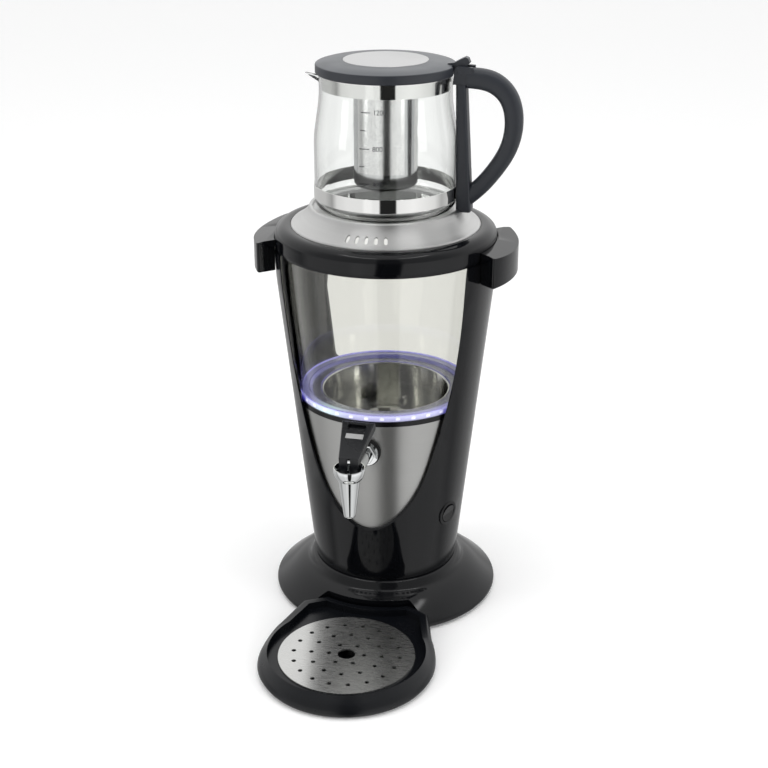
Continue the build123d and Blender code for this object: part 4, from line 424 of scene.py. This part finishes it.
def print_strip(shape, start, end, height):
    """Flat strip of print between two angles at a height; x is the arc and z the height, in millimetres."""
    made = bmesh.ops.create_grid(shape, x_segments=8, y_segments=1, size=0.5)
    span = math.radians(end - start) * POT_GIRTH_RADIUS
    middle = math.radians((start + end) / 2) * POT_GIRTH_RADIUS
    lay = Matrix.Translation((middle, 0, height)) @ Matrix.Rotation(math.radians(90), 4, "X")
    bmesh.ops.transform(shape, matrix=lay @ Matrix.Diagonal((span, MARK_HEIGHT, 1, 1)), verts=made["verts"])


def print_number(shape, words, height):
    """Flat plain number with its foot below a mark's line, in the same flat layout as the strips."""
    curve = bpy.data.curves.new("number", "FONT")
    curve.body = words
    curve.size = NUMBER_SIZE
    curve.align_y = "CENTER"
    holder = bpy.data.objects.new("number", curve)
    bpy.context.collection.objects.link(holder)
    flat = bpy.data.meshes.new_from_object(holder)
    bpy.data.objects.remove(holder)
    start = math.radians(NUMBER_START) * POT_GIRTH_RADIUS
    flat.transform(Matrix.Translation((start, 0, height)) @ Matrix.Rotation(math.radians(90), 4, "X"))
    shape.from_mesh(flat)
    bpy.data.meshes.remove(flat)


marks = bmesh.new()
for mark_height, words in FULL_MARKS:
    print_strip(marks, MARK_LEFT, MARK_LONG_END, mark_height)
    print_number(marks, words, mark_height)
for mark_height in HALF_MARKS:
    print_strip(marks, MARK_LEFT, MARK_SHORT_END, mark_height)
pot_surface = BVHTree.FromPolygons([v.co for v in pot_jug.data.vertices],
                                   [p.vertices for p in pot_jug.data.polygons])
for point in marks.verts:
    around = point.co.x / POT_GIRTH_RADIUS
    outward = Vector((math.sin(around), -math.cos(around), 0.0))
    start = outward * 0.09 + Vector((0, 0, point.co.z * MM))
    met = pot_surface.ray_cast(start, -outward)[0]
    point.co = met + outward * PRINT_DEPTH * MM
bmesh.ops.recalc_face_normals(marks, faces=marks.faces)
marks_mesh = bpy.data.meshes.new("capacity_marks")
marks.to_mesh(marks_mesh)
marks.free()
enamel, enamel_shader, enamel_place = new_material("enamel_printed_grey")
set_shader(enamel_shader, Roughness=0.45)
print_grain = add_node(enamel, "ShaderNodeTexNoise", {"Scale": 1 / (0.6 * MM), "Detail": 2.0},
                       {"Vector": (enamel_place, "Object")})
print_shade = add_node(enamel, "ShaderNodeValToRGB", {"stops": ((0.35, "#1d1f22"), (0.65, "#303336"))},
                       {"Fac": (print_grain, "Fac")})
link(enamel, print_shade, "Color", enamel_shader, "Base Color")
marks_mesh.materials.append(enamel)
capacity_marks = bpy.data.objects.new("capacity_marks", marks_mesh)
bpy.context.collection.objects.link(capacity_marks)
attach(capacity_marks, "teapot")

# Pot band, infuser collar and hinge pin: the band and the collar are stainless steel pressed
# and mirror-polished, and the pin is blackened steel.
mirror_steel = bare_metal("stainless_mirror", "#f0f0ee", 0.04, grain_mm=9.0, grain_height=0.004)
smooth_copy("pot_band", "pot_strap", "teapot", mirror_steel)
smooth_copy("infuser_collar", "pressed_collar", "teapot", mirror_steel)
dress("hinge_pin", bare_metal("steel_blackened", "#4a4c50", 0.35))

# Infuser: thin stainless sheet rolled into a tube, polished, with three windows whose sheet is
# photo-etched so finely that it reads as a paler veil between darker frame strips.
WINDOW_CENTRE = -89.3
WINDOW_HALF = 47.0
WINDOW_FOOT = 427.0 * MM
WINDOW_HEAD = 497.0 * MM


def etched_steel(name):
    """Polished frame strips, pale finely etched windows between them and a duller closed foot."""
    material, shader, place = new_material(name)
    set_shader(shader, Metallic=1.0)
    split = add_node(material, "ShaderNodeSeparateXYZ", {}, {"Vector": (place, "Object")})
    turn = add_node(material, "ShaderNodeMath", {"operation": "ARCTAN2"}, {0: (split, "Y"), 1: (split, "X")})
    from_centre = add_node(material, "ShaderNodeMath",
                           {"operation": "SUBTRACT", 1: math.radians(WINDOW_CENTRE)},
                           {0: (turn, "Value")})
    thirds = add_node(material, "ShaderNodeMath", {"operation": "MULTIPLY", 1: 3.0},
                      {0: (from_centre, "Value")})
    wave = add_node(material, "ShaderNodeMath", {"operation": "COSINE"}, {0: (thirds, "Value")})
    edge = math.cos(math.radians(3 * WINDOW_HALF))
    across = add_node(material, "ShaderNodeMapRange", {"From Min": edge - 0.03, "From Max": edge + 0.03},
                      {"Value": (wave, "Value")})
    above = add_node(material, "ShaderNodeMapRange",
                     {"From Min": WINDOW_FOOT, "From Max": WINDOW_FOOT + 0.5 * MM},
                     {"Value": (split, "Z")})
    below = add_node(material, "ShaderNodeMapRange",
                     {"From Min": WINDOW_HEAD + 0.5 * MM, "From Max": WINDOW_HEAD},
                     {"Value": (split, "Z")})
    tall = add_node(material, "ShaderNodeMath", {"operation": "MULTIPLY"},
                    {0: (above, "Result"), 1: (below, "Result")})
    window = add_node(material, "ShaderNodeMath", {"operation": "MULTIPLY"},
                      {0: (tall, "Value"), 1: (across, "Result")})
    # real holes are about 0.3 mm apart, drawn at 0.9 mm so that they show
    holes = add_node(material, "ShaderNodeTexVoronoi", {"Scale": 1 / (0.9 * MM)},
                     {"Vector": (place, "Object")})
    veil = add_node(material, "ShaderNodeValToRGB", {"stops": ((0.15, "#c4c5c6"), (0.45, "#f4f4f3"))},
                    {"Fac": (holes, "Distance")})
    foot = add_node(material, "ShaderNodeMix", {"data_type": "RGBA"}, {0: (above, "Result")})
    foot.inputs[6].default_value = linear("#dcdddd")
    foot.inputs[7].default_value = linear("#d4d5d6")
    shade = add_node(material, "ShaderNodeMix", {"data_type": "RGBA"},
                     {0: (window, "Value"), 6: (foot, 2), 7: (veil, "Color")})
    spread = add_node(material, "ShaderNodeMapRange", {"To Min": 0.12, "To Max": 0.2},
                      {"Value": (window, "Value")})
    bump = add_node(material, "ShaderNodeBump", {"Strength": 0.15, "Distance": 0.02 * MM},
                    {"Height": (holes, "Distance")})
    link(material, shade, 2, shader, "Base Color")
    link(material, spread, "Result", shader, "Roughness")
    link(material, bump, "Normal", shader, "Normal")
    return material


smooth_copy("infuser_basket", "infuser_tube", "teapot", etched_steel("stainless_etched"))

# Pot handle and lid: satin polypropylene, dark graphite with a fine eroded grain. The grip is
# one rounded bow on a straight strap, under the fork of the lid hinge, and the lid's flat top
# round its satin steel disc is painted a paler grey where it faces up, as painted light from above.
handle_plastic = satin_plastic("pp_satin_graphite", "#2b2e34", 0.42)
HANDLE_CUT = 79.5 * MM
POT_FOOT = 392.0
FORK_FOOT = 507 * MM
STRAP_FOOT = (66.4, 80.2, 391.4)
STRAP_HEAD = (64.4, 73.2, 509.5)
STRAP_HALF_WIDTH = 8.5 * MM
GRIP_LINE = ((74.0, 11.0, 0.86), (86.6, 21.0, 0.86), (99.8, 37.5, 0.86), (111.0, 55.0, 0.88),
             (116.2, 72.5, 0.92), (116.2, 90.0, 0.94), (111.8, 104.0, 0.97), (102.2, 115.0, 1.02),
             (89.5, 120.2, 1.05), (74.0, 120.0, 1.0))
GRIP_SECTION = ((9.3, 4.6), (6.0, 9.1), (-6.0, 9.1), (-9.3, 4.6), (-9.3, -4.6), (-6.0, -9.1),
                (6.0, -9.1), (9.3, -4.6))


def smooth_line(name, points, cyclic=False):
    """Smooth curve near the given points, each with its place and its radius."""
    curve = bpy.data.curves.new(name, "CURVE")
    curve.dimensions = "3D"
    curve.resolution_u = 6
    line = curve.splines.new("NURBS")
    line.points.add(len(points) - 1)
    for point, (x, y, z, radius) in zip(line.points, points):
        point.co = (x * MM, y * MM, z * MM, 1.0)
        point.radius = radius
    line.order_u = 4
    line.use_cyclic_u = cyclic
    line.use_endpoint_u = not cyclic
    holder = bpy.data.objects.new(name, curve)
    bpy.context.collection.objects.link(holder)
    return holder


section = smooth_line("grip_section", [(x, y, 0.0, 1.0) for x, y in GRIP_SECTION], cyclic=True)
bow = smooth_line("grip_bow", [(x, 0.0, POT_FOOT + rise, width) for x, rise, width in GRIP_LINE])
bow.data.bevel_mode = "OBJECT"
bow.data.bevel_object = section
bow.data.use_fill_caps = True
bpy.context.view_layer.update()
swept = bpy.data.meshes.new_from_object(bow.evaluated_get(bpy.context.evaluated_depsgraph_get()))
handle = bmesh.new()
handle.from_mesh(swept)
bmesh.ops.remove_doubles(handle, verts=handle.verts, dist=0.01 * MM)
bmesh.ops.recalc_face_normals(handle, faces=handle.faces)
for spare in (bow, section):
    bpy.data.objects.remove(spare)
strap = bmesh.new()
strap.from_mesh(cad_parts["pot_handle"].data)
bmesh.ops.remove_doubles(strap, verts=strap.verts, dist=0.002 * MM)
bmesh.ops.bisect_plane(strap, geom=strap.verts[:] + strap.edges[:] + strap.faces[:],
                       plane_co=(HANDLE_CUT, 0, 0),
                       plane_no=(1, 0, 0), clear_outer=True)
bmesh.ops.holes_fill(strap, edges=[e for e in strap.edges if e.is_boundary], sides=0)
bmesh.ops.bisect_plane(strap, geom=strap.verts[:] + strap.edges[:] + strap.faces[:],
                       plane_co=(0, 0, FORK_FOOT),
                       plane_no=(0, 0, 1), clear_inner=True)
bmesh.ops.holes_fill(strap, edges=[e for e in strap.edges if e.is_boundary], sides=0)
bar = bmesh.new()
bmesh.ops.create_cube(bar, size=1.0)
for corner in bar.verts:
    low_x, high_x, z = STRAP_FOOT if corner.co.z < 0 else STRAP_HEAD
    corner.co = ((low_x if corner.co.x < 0 else high_x) * MM, math.copysign(STRAP_HALF_WIDTH, corner.co.y),
                 z * MM)
bmesh.ops.bevel(bar, geom=bar.edges[:], offset=2.2 * MM, segments=3, profile=0.5, affect="EDGES", material=-1)
bar_mesh = bpy.data.meshes.new("bar")
bar.to_mesh(bar_mesh)
bar.free()
handle.from_mesh(bar_mesh)
bpy.data.meshes.remove(bar_mesh)
strap_mesh = bpy.data.meshes.new("strap")
strap.to_mesh(strap_mesh)
strap.free()
handle.from_mesh(strap_mesh)
bpy.data.meshes.remove(strap_mesh)
handle_mesh = bpy.data.meshes.new("pot_grip")
handle.to_mesh(handle_mesh)
handle.free()
for spare in ("custom_normal", "sharp_edge", "sharp_face"):
    if spare in handle_mesh.attributes:
        handle_mesh.attributes.remove(handle_mesh.attributes[spare])
handle_mesh.materials.clear()
handle_mesh.materials.append(handle_plastic)
handle_mesh.polygons.foreach_set("use_smooth", [True] * len(handle_mesh.polygons))
handle_mesh.set_sharp_from_angle(angle=math.radians(40))
pot_grip = bpy.data.objects.new("pot_grip", handle_mesh)
bpy.context.collection.objects.link(pot_grip)
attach(pot_grip, "teapot")
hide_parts("pot_handle")
lid_plastic = satin_plastic("pp_satin_lid", "#2b2e34", 0.38)
lid_shader = lid_plastic.node_tree.nodes["Principled BSDF"]
# painted highlight: faces that point up are given a paler grey, for the light from above
facing = add_node(lid_plastic, "ShaderNodeNewGeometry")
upward = add_node(lid_plastic, "ShaderNodeSeparateXYZ", {}, {"Vector": (facing, "Normal")})
flatness = add_node(lid_plastic, "ShaderNodeMapRange",
                    {"interpolation_type": "SMOOTHSTEP", "From Min": 0.75,
                     "From Max": 0.97}, {"Value": (upward, "Z")})
side_shade = lid_shader.inputs["Base Color"].links[0].from_node
top_painted_light = add_node(lid_plastic, "ShaderNodeMix", {"data_type": "RGBA"},
                     {0: (flatness, "Result"), 6: (side_shade, 2)})
top_painted_light.inputs[7].default_value = linear("#5a5d61")
link(lid_plastic, top_painted_light, 2, lid_shader, "Base Color")
smooth_copy("pot_lid", "pot_cover", "pot_lid", lid_plastic)
disc_steel = bare_metal("stainless_satin_disc", "#d8d8d8", 0.36, grain_mm=0.5, grain_height=0.01)
smooth_copy("lid_disc", "cover_disc", "pot_lid", disc_steel)

# Tap: brass body and spout, turned and chrome-plated, with a black silicone gasket on the panel.
# The plunger's bright tongue stands in the open cup on the hinge pin.
chrome = bare_metal("brass_chromed", "#eef0f0", 0.05, grain_mm=9.0, grain_height=0.006)
for node, name in (("tap_body", "tap_casting"), ("tap_spout", "tap_cone"), ("tap_bonnet", "tap_cap"),
                   ("tap_nut", "tap_flange_nut")):
    smooth_copy(node, name, "stand", chrome)
smooth_copy("tap_gasket", "tap_seal", "stand", pad_rubber)
smooth_copy("tap_plunger", "tap_stem", "plunger", chrome)
dress("lever_pin", zinc_steel)
dress("seat_cup", seal_silicone)
for part in ("tap_locknut", "tap_elbow"):
    dress(part, zinc_steel)
dress("outlet_hose", seal_silicone)

# Tap lever: moulded in satin black ABS, broad at the tip, with a thumb slot and two cheeks that
# grip the plunger's tongue in the cup. A small plate of bright steel is glued on its face.
lever_plastic = satin_plastic("abs_satin_black", "#0d0f13", 0.3)
smooth_copy("tap_lever", "tap_paddle", "lever", lever_plastic)
smooth_copy("lever_plate", "paddle_plate", "lever", disc_steel)

# Power switch and cord bush: glossy black bezel with a satin rocker, and a rubber bush.
smooth_copy("switch_housing", "switch_bezel", "stand", piano_black)
smooth_copy("switch_rocker", "switch_key", "rocker", satin_plastic("pa_satin_black", "#0c0c0e", 0.25))
smooth_copy("cord_gland", "cord_bush", "stand", pad_rubber)

# Drip tray and plate: the tray is moulded in black ABS with a softer polish than the stand; the
# plate is punched stainless sheet, brushed across, so that it draws reflections out lengthwise.
tray_black = gloss_plastic("abs_soft_polish_black", "#0b0d11", 0.24)
TRAY_MIDDLE = Vector((0.0, -168.0 * MM, 0.0))
RIM_INNER = 73.0 * MM
RIM_OUTER = 82.0 * MM
RIM_FALL = 9.5 * MM
RIM_FALL_START = -118.0 * MM
RIM_FALL_BLEND = 50.0 * MM
RIM_LEVEL = 9.0 * MM
FOOT_TUCK = 2.5 * MM
tray = smooth_copy("drip_tray", "tray_moulding", "drip_tray", tray_black)
for point in tray.data.vertices:
    arm = Vector((point.co.x, point.co.y, 0.0)) - TRAY_MIDDLE
    reach = min(max((arm.length - RIM_INNER) / (RIM_OUTER - RIM_INNER), 0.0), 1.0)
    round_part = min(max((RIM_FALL_START - point.co.y) / RIM_FALL_BLEND, 0.0), 1.0)
    round_part *= round_part * (3 - 2 * round_part)
    if point.co.z > RIM_LEVEL:
        point.co.z -= RIM_FALL * reach * round_part
    elif arm.length > RIM_INNER:
        point.co -= arm.normalized() * FOOT_TUCK * round_part * (1 - point.co.z / RIM_LEVEL)
plate_steel = brushed_steel("stainless_brushed_plate", "#d8d8d6", 0.25, (0.03, 1.0, 1.0), streak_mm=0.3,
                            depth=0.0015)
dress("drip_plate", plate_steel)

# Studio: a white sweep under white walls. Polished pieces mirror the walls: pale on both sides,
# greyer low down and in front, with one dark upright card beside the camera, which draws the
# dark stripe down every mirror-bright face.
CAMERA_TURN = 12.38
floor_shape = bmesh.new()
bmesh.ops.create_grid(floor_shape, x_segments=1, y_segments=1, size=6.0)
floor_mesh = bpy.data.meshes.new("studio_floor")
floor_shape.to_mesh(floor_mesh)
floor_shape.free()
floor = bpy.data.objects.new("studio_floor", floor_mesh)
bpy.context.collection.objects.link(floor)
floor_paint, floor_shader = new_material("paper_white")[:2]
set_shader(floor_shader, Base_Color=linear("#fcfcfc"), Roughness=0.9, Emission_Color=linear("#ffffff"),
           Emission_Strength=0.08)
floor_mesh.materials.append(floor_paint)
floor.visible_glossy = False
floor.visible_transmission = False

# greys of the walls by their bearing from straight ahead, in degrees, below and above the table
LOW_WALLS = ((-180, "#cbcbcb"), (-100, "#c4c4c4"), (-83, "#a1a1a1"), (-72, "#e1e1e1"), (-52, "#eeeeee"),
             (-26, "#eeeeee"), (-21, "#ffffff"), (-12, "#ffffff"), (-7, "#f4f4f4"), (1.5, "#f4f4f4"),
             (3.5, "#242424"), (28, "#242424"), (30, "#f4f4f4"), (57, "#ffffff"), (97, "#e7e7e7"),
             (112, "#b4b4b4"), (137, "#d2d2d2"), (180, "#cbcbcb"))
HIGH_WALLS = ((-180, "#ffffff"), (-95, "#f4f4f4"), (-60, "#c8c8c8"), (2, "#bcbcbc"), (4, "#606060"),
              (28, "#606060"), (31, "#bcbcbc"), (75, "#c8c8c8"), (110, "#f4f4f4"), (180, "#ffffff"))
STRIP = ((-180, "#000000"), (-90, "#000000"), (-75, "#ffffff"), (-8, "#ffffff"), (-3, "#000000"),
         (34, "#000000"), (39, "#ffffff"), (92, "#ffffff"), (108, "#000000"), (180, "#000000"))
world = bpy.data.worlds.new("studio")
bpy.context.scene.world = world
world.use_nodes = True
outward = add_node(world, "ShaderNodeTexCoord")
axis = add_node(world, "ShaderNodeSeparateXYZ", {}, {"Vector": (outward, "Generated")})
ahead = add_node(world, "ShaderNodeMath", {"operation": "MULTIPLY", 1: -1.0}, {0: (axis, "Y")})
bearing = add_node(world, "ShaderNodeMath", {"operation": "ARCTAN2"}, {0: (axis, "X"), 1: (ahead, "Value")})
share = add_node(world, "ShaderNodeMapRange", {"From Min": -math.pi, "From Max": math.pi},
                 {"Value": (bearing, "Value")})
low = add_node(world, "ShaderNodeValToRGB", {"stops": [(0.5 + turn / 360, grey) for turn, grey in LOW_WALLS]},
               {"Fac": (share, "Result")})
high = add_node(world, "ShaderNodeValToRGB",
                {"stops": [(0.5 + turn / 360, grey) for turn, grey in HIGH_WALLS]},
                {"Fac": (share, "Result")})
depth = add_node(world, "ShaderNodeMapRange",
                 {"From Min": -0.62, "From Max": -0.38, "To Min": 0.75, "To Max": 1.0},
                 {"Value": (axis, "Z")})
shaded = add_node(world, "ShaderNodeVectorMath", {"operation": "SCALE"},
                  {0: (low, "Color"), "Scale": (depth, "Result")})
overhead = add_node(world, "ShaderNodeMapRange",
                    {"interpolation_type": "SMOOTHSTEP", "From Min": 0.75, "From Max": 0.95},
                    {"Value": (axis, "Z")})
ceiling = add_node(world, "ShaderNodeMix", {"data_type": "RGBA"},
                   {0: (overhead, "Result"), 6: (high, "Color")})
ceiling.inputs[7].default_value = (1.0, 1.0, 1.0, 1.0)
rise = add_node(world, "ShaderNodeMapRange",
                {"interpolation_type": "SMOOTHSTEP", "From Min": -0.06, "From Max": 0.1},
                {"Value": (axis, "Z")})
walls = add_node(world, "ShaderNodeMix", {"data_type": "RGBA"},
                 {0: (rise, "Result"), 6: (shaded, "Vector"), 7: (ceiling, 2)})
ray = add_node(world, "ShaderNodeLightPath")
unmirrored = add_node(world, "ShaderNodeMath", {"operation": "LESS_THAN", 1: 0.5}, {0: (ray, "Glossy Depth")})
through = add_node(world, "ShaderNodeMath", {"operation": "MULTIPLY"},
                   {0: (ray, "Is Transmission Ray"), 1: (unmirrored, "Value")})
straight = add_node(world, "ShaderNodeMath", {"operation": "MAXIMUM"},
                    {0: (ray, "Is Camera Ray"), 1: (through, "Value")})
strip_foot = add_node(world, "ShaderNodeMapRange", {"From Min": 0.895, "From Max": 0.91},
                      {"Value": (axis, "Z")})
strip_head = add_node(world, "ShaderNodeMapRange", {"From Min": 0.935, "From Max": 0.92},
                      {"Value": (axis, "Z")})
strip_turn = add_node(world, "ShaderNodeValToRGB",
                      {"stops": [(0.5 + turn / 360, grey) for turn, grey in STRIP]},
                      {"Fac": (share, "Result")})
strip_tall = add_node(world, "ShaderNodeMath", {"operation": "MULTIPLY"},
                      {0: (strip_foot, "Result"), 1: (strip_head, "Result")})
strip = add_node(world, "ShaderNodeMath", {"operation": "MULTIPLY"},
                 {0: (strip_tall, "Value"), 1: (strip_turn, "Color")})
strip_power = add_node(world, "ShaderNodeMath", {"operation": "MULTIPLY_ADD", 1: 4.0, 2: 1.0},
                       {0: (strip, "Value")})
lit_walls = add_node(world, "ShaderNodeVectorMath", {"operation": "SCALE"},
                     {0: (walls, 2), "Scale": (strip_power, "Value")})
seen = add_node(world, "ShaderNodeMix", {"data_type": "RGBA"},
                {0: (straight, "Value"), 6: (lit_walls, "Vector")})
seen.inputs[7].default_value = (1.0, 1.0, 1.0, 1.0)
link(world, seen, 2, world.node_tree.nodes["Background"], "Color")
world.node_tree.nodes["Background"].inputs["Strength"].default_value = 1.0


def area_light(name, place, target, size, watts):
    """Soft rectangular light aimed at a point, left out of reflections."""
    data = bpy.data.lights.new(name, "AREA")
    data.shape = "RECTANGLE"
    data.size, data.size_y = size
    data.energy = watts
    lamp_object = bpy.data.objects.new(name, data)
    bpy.context.collection.objects.link(lamp_object)
    lamp_object.location = place
    lamp_object.rotation_euler = (Vector(target) - Vector(place)).to_track_quat("-Z", "Y").to_euler()
    lamp_object.visible_glossy = False


area_light("left_softbox", (-1.6, -0.9, 0.9), (0, 0, 0.25), (0.5, 1.6), 8)
area_light("right_softbox", (1.7, -0.5, 0.9), (0, 0, 0.25), (0.5, 1.6), 8)
area_light("top_softbox", (0, -0.2, 2.2), (0, 0, 0.2), (1.8, 1.8), 10)

camera_data = bpy.data.cameras.new("studio_camera")
camera_data.sensor_width = 36.0
camera_data.lens = 68.3
camera_data.shift_x = -0.0023
camera = bpy.data.objects.new("studio_camera", camera_data)
bpy.context.collection.objects.link(camera)
camera.location = (0.2787, -1.2698, 0.760)
camera.rotation_euler = (math.radians(67.2), 0.0, math.radians(CAMERA_TURN))
bpy.context.scene.camera = camera
bpy.context.scene.view_settings.view_transform = "Standard"
